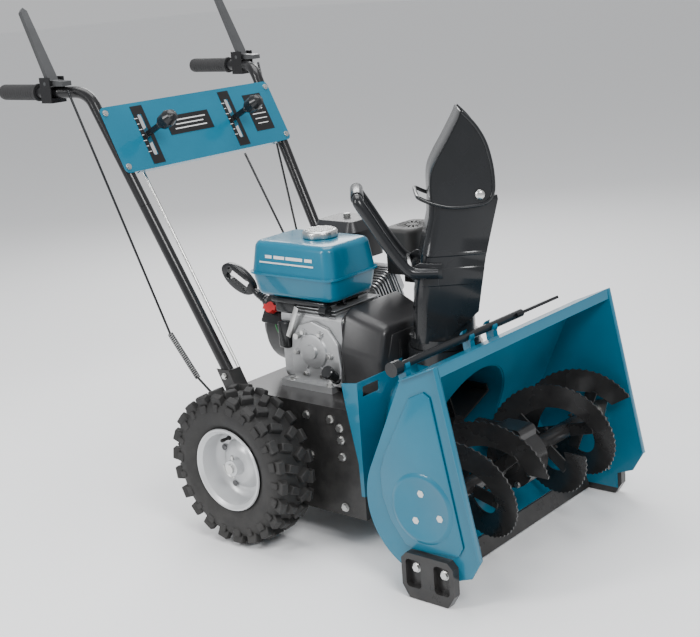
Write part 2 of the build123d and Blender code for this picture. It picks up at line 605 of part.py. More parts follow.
with BuildPart() as recoil_cover:
    with BuildSketch(FRONT.offset(-FAN_REAR)):
        with Locations((0, CRANK_Z)):
            Circle(RECOIL_R)
    extrude(amount=-(RECOIL_REAR - FAN_REAR))
    fillet(recoil_cover.faces().sort_by(Axis.Y)[-1].edges(), 7)
    with BuildSketch(FRONT.offset(-FAN_REAR)):
        with Locations((0, CRANK_Z)):
            Circle(RECOIL_R - 9)
    extrude(amount=-(RECOIL_REAR - FAN_REAR - 3), mode=Mode.SUBTRACT)
    with BuildSketch(FRONT.offset(-RECOIL_REAR - 4)):
        with Locations((0, CRANK_Z)):
            with PolarLocations(44, 14):
                SlotOverall(30, 7)
    extrude(amount=12, mode=Mode.SUBTRACT)
    with BuildSketch(Plane(origin=spot(*ROPE_EXIT), z_dir=GRIP_DIR)):
        Circle(13)
    extrude(amount=14)
    with BuildSketch(Plane(origin=spot(*ROPE_EXIT), z_dir=GRIP_DIR)):
        Circle(4.5)
    extrude(amount=40, both=True, mode=Mode.SUBTRACT)
recoil_cover.part.label = "recoil_cover"
export_step(recoil_cover.part, "parts/recoil_cover.step")

# Pull grip: a long loop for a gloved hand on a ribbed neck, with its rope inside the neck.
GRIP_SEAT = Vector(*ROPE_EXIT) + GRIP_DIR.normalized() * 16
GRIP_PLANE = Plane(origin=spot(*GRIP_SEAT), x_dir=(1, 0, 0.1), z_dir=GRIP_DIR)
GRIP_LOOP = Plane(origin=GRIP_PLANE.origin + GRIP_PLANE.z_dir * 84, x_dir=GRIP_PLANE.z_dir,
                  z_dir=GRIP_PLANE.y_dir)
with BuildPart() as starter_grip:
    with BuildSketch(GRIP_PLANE):
        Circle(10)
    with BuildSketch(GRIP_PLANE.offset(36)):
        Circle(14)
    loft()
    with BuildSketch(GRIP_LOOP):
        Ellipse(56, 29)
        SlotOverall(64, 24, mode=Mode.SUBTRACT)
    extrude(amount=10, both=True)
    with BuildSketch(GRIP_PLANE):
        Circle(3.2)
    extrude(amount=28, mode=Mode.SUBTRACT)
starter_grip.part.label = "starter_grip"
export_step(starter_grip.part, "parts/starter_grip.step")

with BuildPart() as starter_rope:
    with BuildSketch(Plane(origin=spot(*ROPE_EXIT) - GRIP_DIR.normalized() * 6, z_dir=GRIP_DIR)):
        Circle(2.2)
    extrude(amount=44)
starter_rope.part.label = "starter_rope"
export_step(starter_rope.part, "parts/starter_rope.step")

# Switch plate on the fan housing's right-hand side, with its turning knob.
SWITCH_OUT = Vector(-0.86, 0, 0.5)
SWITCH_PLANE = Plane(origin=spot(-84, 56, 440), x_dir=(0, 1, 0), z_dir=SWITCH_OUT)
with BuildPart() as switch_plate:
    with BuildSketch(SWITCH_PLANE):
        RectangleRounded(58, 62, 6)
    extrude(amount=3)
    with BuildSketch(SWITCH_PLANE.offset(3)):
        Circle(12)
    extrude(amount=5)
    with BuildSketch(SWITCH_PLANE):
        Circle(4 + RUN_GAP)
    extrude(amount=20, mode=Mode.SUBTRACT)
switch_plate.part.label = "switch_plate"
export_step(switch_plate.part, "parts/switch_plate.step")

with BuildPart() as stop_switch:
    with BuildSketch(SWITCH_PLANE.offset(8.5)):
        Circle(12)
        Rectangle(36, 11)
    extrude(amount=13)
    with BuildSketch(SWITCH_PLANE.offset(1)):
        Circle(4)
    extrude(amount=10)
stop_switch.part.label = "stop_switch"
export_step(stop_switch.part, "parts/stop_switch.step")

# ---------------------------------------------------------------- fuel tank
TANK_X = (TANK_LEFT + TANK_RIGHT) / 2
TANK_Y = (TANK_FRONT + TANK_REAR) / 2
TANK_W = TANK_LEFT - TANK_RIGHT
TANK_L = TANK_REAR - TANK_FRONT
TANK_WALL = 2.0
SEAM_LIP = 6.0
NECK_R = 27.0
CAP_PLACE = (TANK_X + 14, TANK_Y - 14)


def tank_solid(inset, lift):
    """The tank's two drawn halves as one closed form, shrunk by an inset."""
    with BuildPart() as form:
        with BuildSketch(GROUND.offset(TANK_SEAM)):
            with Locations((TANK_X, TANK_Y)):
                RectangleRounded(TANK_W - 2 * inset, TANK_L - 2 * inset, 26 - inset)
        extrude(amount=TANK_TOP - TANK_SEAM - inset + lift, taper=7)
        fillet(form.faces().sort_by(Axis.Z)[-1].edges(), 12)
        with BuildSketch(GROUND.offset(TANK_SEAM)):
            with Locations((TANK_X, TANK_Y)):
                RectangleRounded(TANK_W - 2 * inset, TANK_L - 2 * inset, 26 - inset)
        extrude(amount=-(TANK_SEAM - TANK_BOTTOM - inset), taper=7)
        fillet(form.faces().sort_by(Axis.Z)[0].edges(), 12)
    return form.part


with BuildPart() as fuel_tank:
    add(tank_solid(0, 0))
    with BuildSketch(GROUND.offset(TANK_SEAM - 1.5)):
        with Locations((TANK_X, TANK_Y)):
            RectangleRounded(TANK_W + 2 * SEAM_LIP, TANK_L + 2 * SEAM_LIP, 26 + SEAM_LIP)
    extrude(amount=3)
    add(tank_solid(TANK_WALL, 0), mode=Mode.SUBTRACT)
    with BuildSketch(GROUND.offset(TANK_TOP - 4)):
        with Locations(CAP_PLACE):
            Circle(NECK_R)
    extrude(amount=8)
    with BuildSketch(GROUND.offset(TANK_TOP - 10)):
        with Locations(CAP_PLACE):
            Circle(NECK_R - 3)
    extrude(amount=20, mode=Mode.SUBTRACT)
fuel_tank.part.label = "fuel_tank"
export_step(fuel_tank.part, "parts/fuel_tank.step")

with BuildPart() as fuel_cap:
    with BuildSketch(GROUND.offset(TANK_TOP + FREE_GAP)):
        with Locations(CAP_PLACE):
            Circle(CAP_R)
    extrude(amount=17)
    fillet(fuel_cap.faces().sort_by(Axis.Z)[-1].edges(), 3)
    with BuildSketch(GROUND.offset(TANK_TOP)):
        with Locations(CAP_PLACE):
            Circle(NECK_R + 0.5)
    extrude(amount=9, mode=Mode.SUBTRACT)
    with BuildSketch(GROUND.offset(TANK_TOP - 6)):
        with Locations(CAP_PLACE):
            Circle(NECK_R - 4)
    extrude(amount=18)
fuel_cap.part.label = "fuel_cap"
export_step(fuel_cap.part, "parts/fuel_cap.step")

# ---------------------------------------------------------------- intake and exhaust
with BuildPart() as air_cleaner:
    with BuildSketch(GROUND.offset(528)):
        with Locations((100, -8)):
            RectangleRounded(112, 124, 24)
    extrude(amount=62)
    with BuildSketch(GROUND.offset(590)):
        with Locations((100, -8)):
            RectangleRounded(112, 124, 24)
    extrude(amount=22, taper=28)
    fillet(air_cleaner.faces().sort_by(Axis.Z)[-1].edges(), 4)
    with BuildSketch(GROUND.offset(528)):
        with Locations((100, -8)):
            RectangleRounded(106, 118, 21)
    extrude(amount=58, mode=Mode.SUBTRACT)
    with BuildSketch(bore_plane(HEAD_START + 2).offset(12)):
        with Locations((FIN_HALF + 14, 0)):
            Rectangle(24, 40)
    extrude(amount=10, both=True)
    with BuildSketch(GROUND.offset(470)):
        with Locations((132, 20)):
            RectangleRounded(44, 40, 6)
    extrude(amount=59)
    with BuildSketch(GROUND.offset(528)):
        with Locations((100, -8)):
            RectangleRounded(112, 124, 24)
    extrude(amount=3)
air_cleaner.part.label = "air_cleaner"
export_step(air_cleaner.part, "parts/air_cleaner.step")

MUFFLER_BOX = (128.0, -166.0, 506.0)
with BuildPart() as muffler_guard:
    with BuildSketch(GROUND.offset(MUFFLER_BOX[2] - 2)):
        with Locations(MUFFLER_BOX[:2]):
            RectangleRounded(116, 86, 26)
    extrude(amount=98)
    fillet(muffler_guard.faces().sort_by(Axis.Z)[-1].edges(), 9)
    with BuildSketch(GROUND.offset(MUFFLER_BOX[2] - 4)):
        with Locations(MUFFLER_BOX[:2]):
            RectangleRounded(112, 82, 24)
    extrude(amount=96, mode=Mode.SUBTRACT)
    with BuildSketch(GROUND.offset(MUFFLER_BOX[2] + 80)):
        with Locations(MUFFLER_BOX[:2]):
            with PolarLocations(24, 18):
                SlotOverall(22, 4)
    extrude(amount=30, mode=Mode.SUBTRACT)

with BuildPart() as muffler:
    with BuildSketch(GROUND.offset(MUFFLER_BOX[2])):
        with Locations(MUFFLER_BOX[:2]):
            RectangleRounded(96, 66, 18)
    extrude(amount=78)
    fillet(muffler.faces().sort_by(Axis.Z)[-1].edges(), 8)
    with BuildSketch(GROUND.offset(MUFFLER_BOX[2] + 3)):
        with Locations(MUFFLER_BOX[:2]):
            RectangleRounded(90, 60, 15)
    extrude(amount=70, mode=Mode.SUBTRACT)
    with BuildSketch(GROUND.offset(470)):
        with Locations((150, -142)):
            Rectangle(30, 24)
    extrude(amount=36)
    add(muffler_guard.part)
muffler.part.label = "muffler"
export_step(muffler.part, "parts/muffler.step")

# ---------------------------------------------------------------- belts and their cover
COVER_REAR = CRANKCASE_FRONT - 1.0
COVER_FRONT = -244.0
COVER_TOP = 472.0


def belt_outline(grow, rise):
    """Front view of the belt cover: upright flanks below, sloping shoulders above."""
    with BuildLine() as edge:
        Polyline((-112 + grow, CHASSIS_TOP), (-116 + grow, CHASSIS_TOP + 100), (-96 + grow, COVER_TOP - 10 - rise),
                 (-78, COVER_TOP - rise), (84, COVER_TOP - rise), (108 - grow, COVER_TOP - 40 - rise),
                 (112 - grow, CHASSIS_TOP), close=True)
    return edge.line


with BuildPart() as belt_cover:
    with BuildSketch(FRONT.offset(-COVER_REAR)):
        add(belt_outline(0, 0))
        make_face()
    with BuildSketch(FRONT.offset(-COVER_FRONT)):
        add(belt_outline(16, 34))
        make_face()
    loft()
    with BuildSketch(FRONT.offset(-COVER_REAR - 0.01)):
        add(belt_outline(3, 3))
        make_face()
    with BuildSketch(FRONT.offset(-COVER_FRONT - 3)):
        add(belt_outline(19, 37))
        make_face()
    loft(mode=Mode.SUBTRACT)
belt_cover.part.label = "belt_cover"
export_step(belt_cover.part, "parts/belt_cover.step")

AUGER_PULLEY_R = 92.0


def belt_loop(plane_y, small_r, small_z, large_r, large_z):
    """A V-belt's closed loop round two pulleys, lying in their grooves with air at the flanks."""
    inner_small = small_r - 11
    inner_large = large_r - 11
    span = small_z - large_z
    lean = degrees(atan2(inner_large - inner_small, (span ** 2 - (inner_large - inner_small) ** 2) ** 0.5))
    with BuildSketch(FRONT.offset(-plane_y - BELT_WIDTH / 2 + 2.6)) as loop:
        for offset_r, mode in ((BELT_HEIGHT, Mode.ADD), (0, Mode.SUBTRACT)):
            small, large = inner_small + offset_r, inner_large + offset_r
            with Locations((0, small_z)):
                Circle(small, mode=mode)
            with Locations((0, large_z)):
                Circle(large, mode=mode)
            with BuildLine():
                rise = radians(lean)
                Polyline((small * cos(rise), small_z + small * sin(rise)),
                         (large * cos(rise), large_z + large * sin(rise)),
                         (-large * cos(rise), large_z + large * sin(rise)),
                         (-small * cos(rise), small_z + small * sin(rise)), close=True)
            make_face(mode=mode)
    return loop.sketch


with BuildPart() as belts:
    extrude(belt_loop(DRIVE_PULLEY_Y, ENGINE_PULLEY_R, CRANK_Z, DISC_PULLEY_R, HEX_Z), amount=BELT_WIDTH - 5.2)
    extrude(belt_loop(AUGER_PULLEY_Y, ENGINE_PULLEY_R, CRANK_Z, AUGER_PULLEY_R, IMPELLER_Z),
            amount=BELT_WIDTH - 5.2)
belts.part.label = "belts"
export_step(belts.part, "parts/belts.step")

with BuildPart() as engine_bolts:
    add(hex_bolts([facing((x, y, CHASSIS_TOP + 14), (0, 0, 1)) for x, y in BASE_BOLTS], 4, 15).part)
    add(hex_bolts([facing((x, CRANKCASE_FRONT, z), (0, -1, 0)) for x, z in CASE_BOLTS[:2]], 3, 22).part)
    with BuildSketch(GROUND.offset(612)):
        with Locations((100, -8)):
            RegularPolygon(radius=8, side_count=6)
    extrude(amount=9)
engine_bolts.part.label = "engine_bolts"
export_step(engine_bolts.part, "parts/engine_bolts.step")

# ---------------------------------------------------------------- auger housing
SKID_MIDDLE_Y = AUGER_Y - 5


def side_outline():
    """Side view of the housing's end plates, with the round back following the auger."""
    axis = Vector(AUGER_Y, AUGER_Z)
    reach = SHELL_R + SHEET
    tangent = tangent_point(TOP_REAR, axis, reach)
    low = (AUGER_Y + (reach ** 2 - (AUGER_Z - PLATE_BOTTOM) ** 2) ** 0.5, PLATE_BOTTOM)
    tab_rear, tab_front = SKID_MIDDLE_Y + 50, SKID_MIDDLE_Y - 50
    middle_angle = (atan2(tangent[1] - AUGER_Z, tangent[0] - AUGER_Y)
                    + atan2(low[1] - AUGER_Z, low[0] - AUGER_Y)) / 2
    middle = (AUGER_Y + reach * cos(middle_angle), AUGER_Z + reach * sin(middle_angle))
    with BuildLine() as edge:
        Polyline(low, (tab_rear, 14), (tab_front, 14), (tab_front, PLATE_BOTTOM), PLATE_TOE, PLATE_NOSE,
                 TOP_FRONT, TOP_REAR, tangent)
        ThreePointArc(tangent, middle, low)
    return edge.line


def tangent_point(point, middle, radius):
    """Where a line from a point touches a circle, on the side away from the auger mouth."""
    dy, dz = point[0] - middle.X, point[1] - middle.Y
    reach = hypot(dy, dz)
    angle = atan2(dz, dy) - acos_safe(radius / reach)
    return (middle.X + radius * cos(angle), middle.Y + radius * sin(angle))


def acos_safe(value):
    """Arc cosine in radians of a ratio below one."""
    return atan2((1 - value ** 2) ** 0.5, value)


BEARING_BOLTS = [(AUGER_Y + 33 * cos(radians(a)), AUGER_Z + 33 * sin(radians(a))) for a in (75, 195, 315)]
SKID_BOLTS = ((AUGER_Y + 27, 58.0), (AUGER_Y - 37, 58.0))
with BuildPart() as side_plates:
    for _, sign in SIDES:
        outer_x = sign * HOUSING_HALF
        with BuildSketch(SIDE.offset(outer_x)):
            add(side_outline())
            make_face()
        extrude(amount=-sign * SHEET)
        places = [facing((outer_x, y, z), (sign, 0, 0), (0, 1, 0)) for y, z in BEARING_BOLTS + list(SKID_BOLTS)]
        drill(places, 4 + HOLE_GAP, 8)
        drill([facing((outer_x, AUGER_Y, AUGER_Z), (1, 0, 0), (0, 1, 0))], 14, 8)
side_plates.part.label = "side_plates"
export_step(side_plates.part, "parts/side_plates.step")

with BuildPart() as skid_shoes:
    for _, sign in SIDES:
        outer_x = sign * HOUSING_HALF
        with BuildSketch(SIDE.offset(outer_x)):
            with BuildLine():
                Polyline((SKID_MIDDLE_Y - 59, 24), (SKID_MIDDLE_Y - 44, 0), (SKID_MIDDLE_Y + 44, 0),
                         (SKID_MIDDLE_Y + 59, 24), (SKID_MIDDLE_Y + 59, SKID_HEIGHT - 12),
                         (SKID_MIDDLE_Y + 47, SKID_HEIGHT), (SKID_MIDDLE_Y - 47, SKID_HEIGHT),
                         (SKID_MIDDLE_Y - 59, SKID_HEIGHT - 12), close=True)
            make_face()
        extrude(amount=sign * SKID_DEPTH)
        with BuildSketch(SIDE.offset(outer_x + sign * 5)):
            with Locations(*[(y, 50) for y, z in SKID_BOLTS]):
                RectangleRounded(34, 56, 8)
        extrude(amount=sign * SKID_DEPTH, mode=Mode.SUBTRACT)
        drill([facing((outer_x, y, z), (sign, 0, 0), (0, 1, 0)) for y, z in SKID_BOLTS], 4 + HOLE_GAP, 8)
skid_shoes.part.label = "skid_shoes"
export_step(skid_shoes.part, "parts/skid_shoes.step")

FRAME_HALF = 196.0
FRAME_TOP = 352.0
FRAME_BOTTOM = 112.0
FRAME_FRONT = CHASSIS_FRONT - SHEET
COLLAR_R = CHUTE_FOOT_R + 4.0


def shell_band(grow):
    """Side view of the housing's wrapped back, from the top edge round to the scraper."""
    axis = Vector(AUGER_Y, AUGER_Z)
    reach = SHELL_R + grow
    slope = atan2(TOP_REAR[1] - TOP_FRONT[1], TOP_REAR[0] - TOP_FRONT[0])
    shift = (grow - SHEET) * Vector(-sin(slope), cos(slope))
    top_front = (TOP_FRONT[0] + shift.X, TOP_FRONT[1] + shift.Y)
    corner = (TOP_REAR[0] + (grow - SHEET) * 0.75, TOP_REAR[1] + (grow - SHEET) * 0.75)
    tangent = tangent_point(corner, axis, reach)
    low_angle = radians(-78)
    low = (AUGER_Y + reach * cos(low_angle), AUGER_Z + reach * sin(low_angle))
    middle_angle = (atan2(tangent[1] - AUGER_Z, tangent[0] - AUGER_Y) + low_angle) / 2
    middle = (AUGER_Y + reach * cos(middle_angle), AUGER_Z + reach * sin(middle_angle))
    return top_front, corner, tangent, middle, low


SHELL_INNER = shell_band(0)
SHELL_OUTER = shell_band(SHEET)
SHELL_HALF = HOUSING_HALF - SHEET

DRUM_BOLTS = [(x, z) for x in (-60, 60) for z in (IMPELLER_Z - 60, IMPELLER_Z + 60)]
TOOL_SPOT = (-428.0, 434.0)
TOOL_R = 8.0
TOOL_LEAN = 20.0             # the clips open upwards and this far forward, clear of the chute
TOOL_GAP = 0.4
TOOL_CLIPS = (-266.0, -60.0, 20.0)
# Impeller drum: a round can behind the auger housing, open to it in front and to the chute above.
with BuildPart() as drum_space:
    with BuildSketch(FRONT.offset(-DRUM_REAR)):
        with Locations((0, IMPELLER_Z)):
            Circle(DRUM_R)
    extrude(amount=DRUM_REAR - AUGER_Y)

with BuildPart() as shell_space:
    with BuildSketch(SIDE.offset(-SHELL_HALF)):
        with BuildLine():
            Polyline(SHELL_INNER[0], SHELL_INNER[1], SHELL_INNER[2])
            ThreePointArc(SHELL_INNER[2], SHELL_INNER[3], SHELL_INNER[4])
            Polyline(SHELL_INNER[4], (AUGER_Y - 160, SHELL_INNER[4][1]), SHELL_INNER[0])
        make_face()
    extrude(amount=2 * SHELL_HALF)

with BuildPart() as housing_shell:
    with BuildSketch(SIDE.offset(-SHELL_HALF)):
        with BuildLine():
            Polyline(SHELL_INNER[0], SHELL_INNER[1], SHELL_INNER[2])
            ThreePointArc(SHELL_INNER[2], SHELL_INNER[3], SHELL_INNER[4])
            Line(SHELL_INNER[4], SHELL_OUTER[4])
            ThreePointArc(SHELL_OUTER[4], SHELL_OUTER[3], SHELL_OUTER[2])
            Polyline(SHELL_OUTER[2], SHELL_OUTER[1], SHELL_OUTER[0], SHELL_INNER[0])
        make_face()
    extrude(amount=2 * SHELL_HALF)
    with BuildSketch(SIDE.offset(-SHELL_HALF)):
        with BuildLine():
            Polyline(SHELL_OUTER[0], (SHELL_OUTER[0][0] - 3, SHELL_OUTER[0][1] - 21),
                     (SHELL_OUTER[0][0] - 0.5, SHELL_OUTER[0][1] - 21.4), (SHELL_INNER[0][0] + 2.5, SHELL_INNER[0][1]),
                     close=True)
        make_face()
    extrude(amount=2 * SHELL_HALF)
    add(drum_space.part, mode=Mode.SUBTRACT)
    for x in TOOL_CLIPS:
        with BuildSketch(SIDE.offset(x - 7)):
            with Locations(TOOL_SPOT):
                Circle(TOOL_R + 5)
            with BuildLine():
                Polyline((TOP_REAR[0] + 6, TOP_REAR[1] - 14), (TOOL_SPOT[0] - 8, TOOL_SPOT[1] + 8),
                         (TOOL_SPOT[0] + 8, TOOL_SPOT[1] - 6), (TOP_REAR[0] + 20, TOP_REAR[1] - 44), close=True)
            make_face()
            with Locations(TOOL_SPOT):
                Circle(TOOL_R + TOOL_GAP, mode=Mode.SUBTRACT)
            with Locations((TOOL_SPOT[0] - 12 * sin(radians(TOOL_LEAN)), TOOL_SPOT[1] + 12 * cos(radians(TOOL_LEAN)))):
                Rectangle(2 * (TOOL_R + TOOL_GAP), 24, rotation=TOOL_LEAN, mode=Mode.SUBTRACT)
        extrude(amount=14)
housing_shell.part.label = "housing_shell"
export_step(housing_shell.part, "parts/housing_shell.step")

with BuildPart() as impeller_drum:
    with BuildSketch(FRONT.offset(-DRUM_REAR)):
        with Locations((0, IMPELLER_Z)):
            Circle(DRUM_R)
    extrude(amount=DRUM_REAR - AUGER_Y)
    with BuildSketch(FRONT.offset(-DRUM_REAR + SHEET)):
        with Locations((0, IMPELLER_Z)):
            Circle(DRUM_R - SHEET)
    extrude(amount=DRUM_REAR - AUGER_Y, mode=Mode.SUBTRACT)
    add(shell_space.part, mode=Mode.SUBTRACT)
    with BuildSketch(SIDE.offset(-SHELL_HALF)):
        with BuildLine():
            Polyline(SHELL_OUTER[4], (AUGER_Y - 200, 0), (AUGER_Y - 200, 480), SHELL_OUTER[0], SHELL_OUTER[1],
                     SHELL_OUTER[2])
            ThreePointArc(SHELL_OUTER[2], SHELL_OUTER[3], SHELL_OUTER[4])
        make_face()
    extrude(amount=2 * SHELL_HALF, mode=Mode.SUBTRACT)
    with BuildSketch(GROUND.offset(IMPELLER_Z + 60)):
        with Locations((0, CHUTE_Y)):
            Circle(COLLAR_R)
    extrude(amount=CHUTE_FOOT_Z - IMPELLER_Z - 60)
    with BuildSketch(GROUND.offset(IMPELLER_Z + 40)):
        with Locations((0, CHUTE_Y)):
            Circle(COLLAR_R - SHEET)
    extrude(amount=CHUTE_FOOT_Z, mode=Mode.SUBTRACT)
    with BuildSketch(FRONT.offset(-DRUM_REAR + SHEET)):
        with Locations((0, IMPELLER_Z)):
            Circle(DRUM_R - SHEET)
    extrude(amount=DRUM_REAR - AUGER_Y, mode=Mode.SUBTRACT)
    drill([facing((0, DRUM_REAR, IMPELLER_Z), (0, 1, 0))], 18, 6)
    drill([facing((x, DRUM_REAR, z), (0, 1, 0)) for x, z in DRUM_BOLTS], 3 + HOLE_GAP, 6)
impeller_drum.part.label = "impeller_drum"
export_step(impeller_drum.part, "parts/impeller_drum.step")

with BuildPart() as scraper_bar:
    with BuildSketch(SIDE.offset(-SHELL_HALF)):
        with BuildLine():
            Polyline((SHELL_OUTER[4][0] - 4, 38), (SHELL_OUTER[4][0] + 4, 38), (SHELL_OUTER[4][0] - 11, 4),
                     (SHELL_OUTER[4][0] - 17, 4), close=True)
        make_face()
    extrude(amount=2 * SHELL_HALF)
scraper_bar.part.label = "scraper_bar"
export_step(scraper_bar.part, "parts/scraper_bar.step")

# Frame that joins the drum to the chassis: a drilled plate with swept-back side flanges.
FLANGE_REAR = -214.0
with BuildPart() as mounting_frame:
    with BuildSketch(FRONT.offset(-FRAME_FRONT)):
        with Locations((0, (FRAME_TOP + FRAME_BOTTOM) / 2)):
            Rectangle(2 * FRAME_HALF, FRAME_TOP - FRAME_BOTTOM)
        with Locations((0, IMPELLER_Z)):
            Circle(26, mode=Mode.SUBTRACT)
        with Locations((-FRAME_HALF + 42, FRAME_TOP - 22), (FRAME_HALF - 42, FRAME_TOP - 22)):
            RectangleRounded(52, 22, 4, mode=Mode.SUBTRACT)
    extrude(amount=SHEET)
    for _, sign in SIDES:
        with BuildSketch(SIDE.offset(sign * (FRAME_HALF - SHEET))):
            with BuildLine():
                Polyline((FRAME_FRONT - SHEET, FRAME_TOP), (FLANGE_REAR, FRAME_TOP - 6),
                         (FLANGE_REAR - 8, FRAME_TOP - 56), (FRAME_FRONT + 8, FRAME_BOTTOM + 70),
                         (FRAME_FRONT + 6, FRAME_BOTTOM), (FRAME_FRONT - SHEET, FRAME_BOTTOM), close=True)
            make_face()
        extrude(amount=sign * SHEET)
    with BuildSketch(FRONT.offset(-FRAME_FRONT)):
        with Locations((0, IMPELLER_Z)):
            Circle(DRUM_R - 12)
            Circle(DRUM_R - 18, mode=Mode.SUBTRACT)
    extrude(amount=FRAME_FRONT - DRUM_REAR)
mounting_frame.part.label = "mounting_frame"
export_step(mounting_frame.part, "parts/mounting_frame.step")

with BuildPart() as auger_bearings:
    for _, sign in SIDES:
        with BuildSketch(SIDE.offset(sign * SHELL_HALF)):
            with Locations((AUGER_Y, AUGER_Z)):
                RegularPolygon(radius=56, side_count=3, rotation=15)
                Circle(21)
                Circle(12.5 + RUN_GAP, mode=Mode.SUBTRACT)
        extrude(amount=-sign * 4)
        with BuildSketch(SIDE.offset(sign * SHELL_HALF)):
            with Locations((AUGER_Y, AUGER_Z)):
                Circle(19)
                Circle(12.5 + RUN_GAP, mode=Mode.SUBTRACT)
        extrude(amount=-sign * 13)
    drill([facing((sign * SHELL_HALF, y, z), (1, 0, 0), (0, 1, 0)) for _, sign in SIDES
           for y, z in BEARING_BOLTS], 4 + HOLE_GAP, 8)

# ---------------------------------------------------------------- augers, gearbox and impeller
AUGER_SHAFT_R = 12.5
TUBE_OUTER_R = 17.0
FLIGHT_INNER_R = 68.0
FLIGHT_START = 66.0
FLIGHT_END = 282.0
FLIGHT_TURN = 330.0
FLIGHT_STEPS = 15
GEARBOX_HALF = 34.0


def auger_plane(x, angle):
    """Plane through the auger axis: local x across the machine, local y outwards at an angle."""
    a = radians(angle)
    return Plane(origin=spot(x, AUGER_Y, AUGER_Z), x_dir=(1, 0, 0), z_dir=(0, -sin(a), cos(a)))


for side, sign in SIDES:
    with BuildPart() as auger:
        with BuildSketch(SIDE.offset(sign * (GEARBOX_HALF + 12))):
            with Locations((AUGER_Y, AUGER_Z)):
                Circle(TUBE_OUTER_R)
                Circle(AUGER_SHAFT_R + RUN_GAP, mode=Mode.SUBTRACT)
        extrude(amount=sign * (HOUSING_HALF - GEARBOX_HALF - 32))
        for start in (0, 180):
            with BuildPart(mode=Mode.PRIVATE) as ribbon:
                for step in range(FLIGHT_STEPS + 1):
                    share = step / FLIGHT_STEPS
                    x = sign * (FLIGHT_START + (FLIGHT_END - FLIGHT_START) * share)
                    with BuildSketch(auger_plane(x, start + sign * FLIGHT_TURN * share)):
                        with Locations((0, (AUGER_R + FLIGHT_INNER_R) / 2)):
                            Rectangle(4, AUGER_R - FLIGHT_INNER_R)
                loft(ruled=True)
            add(ribbon.part)
            for share in (0.12, 0.5, 0.88):
                x = sign * (FLIGHT_START + (FLIGHT_END - FLIGHT_START) * share)
                with BuildSketch(auger_plane(x, start + sign * FLIGHT_TURN * share)):
                    with Locations((0, (TUBE_OUTER_R + FLIGHT_INNER_R) / 2)):
                        Rectangle(7, FLIGHT_INNER_R - TUBE_OUTER_R + 8)
                extrude(amount=11, both=True)
    auger.part.label = f"auger_{side}"
    export_step(auger.part, f"parts/auger_{side}.step")

WORM_WHEEL_R = 33.0
with BuildPart() as auger_shaft:
    with BuildSketch(SIDE.offset(-HOUSING_HALF - 3)):
        with Locations((AUGER_Y, AUGER_Z)):
            Circle(AUGER_SHAFT_R)
    extrude(amount=2 * HOUSING_HALF + 6)
    with BuildSketch(SIDE.offset(-8)):
        with Locations((AUGER_Y, AUGER_Z)):
            Circle(WORM_WHEEL_R - 3)
            with PolarLocations(WORM_WHEEL_R - 2.5, 20):
                Rectangle(5, 4)
    extrude(amount=16)
auger_shaft.part.label = "auger_shaft"
export_step(auger_shaft.part, "parts/auger_shaft.step")

GEARBOX_REAR = AUGER_Y + 92
IMPELLER_SHAFT_R = 9.5
GEARBOX_BOLTS = [(AUGER_Y + 48 * cos(radians(a)), AUGER_Z + 48 * sin(radians(a))) for a in (200, 250, 300, 350)]
with BuildPart() as gearbox:
    with BuildSketch(SIDE.offset(-GEARBOX_HALF + 6)):
        with Locations((AUGER_Y, AUGER_Z)):
            Circle(54)
        with Locations((AUGER_Y + 8, IMPELLER_Z)):
            RectangleRounded(72, 48, 12)
    extrude(amount=2 * GEARBOX_HALF - 12)
    with BuildSketch(SIDE.offset(-GEARBOX_HALF)):
        with Locations((AUGER_Y, AUGER_Z)):
            Circle(24)
    extrude(amount=2 * GEARBOX_HALF)
    with BuildSketch(FRONT.offset(-AUGER_Y)):
        with Locations((0, IMPELLER_Z)):
            Circle(24)
    extrude(amount=AUGER_Y - GEARBOX_REAR)
    with BuildSketch(SIDE.offset(-GEARBOX_HALF + 14)):
        with Locations((AUGER_Y, AUGER_Z)):
            Circle(41)
        with Locations((AUGER_Y + 4, IMPELLER_Z)):
            Rectangle(52, 32)
    extrude(amount=2 * GEARBOX_HALF - 28, mode=Mode.SUBTRACT)
    with BuildSketch(SIDE.offset(-GEARBOX_HALF)):
        with Locations((AUGER_Y, AUGER_Z)):
            Circle(AUGER_SHAFT_R + RUN_GAP)
    extrude(amount=2 * GEARBOX_HALF, mode=Mode.SUBTRACT)
    with BuildSketch(FRONT.offset(-AUGER_Y)):
        with Locations((0, IMPELLER_Z)):
            Circle(IMPELLER_SHAFT_R + RUN_GAP)
    extrude(amount=AUGER_Y - GEARBOX_REAR - 1, mode=Mode.SUBTRACT)
    drill([facing((-GEARBOX_HALF + 6, y, z), (-1, 0, 0), (0, 1, 0)) for y, z in GEARBOX_BOLTS], 3 + HOLE_GAP, 8)
gearbox.part.label = "gearbox"
export_step(gearbox.part, "parts/gearbox.step")

with BuildPart() as housing_bolts:
    add(hex_bolts([facing((sign * HOUSING_HALF, y, z), (sign, 0, 0), (0, 1, 0)) for _, sign in SIDES
                   for y, z in BEARING_BOLTS], 4, 9).part)
    add(hex_bolts([facing((sign * (HOUSING_HALF + 5), y, z), (sign, 0, 0), (0, 1, 0)) for _, sign in SIDES
                   for y, z in SKID_BOLTS], 4, 12).part)
    add(hex_bolts([facing((x, DRUM_REAR, z), (0, 1, 0)) for x, z in DRUM_BOLTS], 3, 5).part)
    add(hex_bolts([facing((-GEARBOX_HALF + 6, y, z), (-1, 0, 0), (0, 1, 0)) for y, z in GEARBOX_BOLTS], 3, 7).part)
housing_bolts.part.label = "housing_bolts"
export_step(housing_bolts.part, "parts/housing_bolts.step")

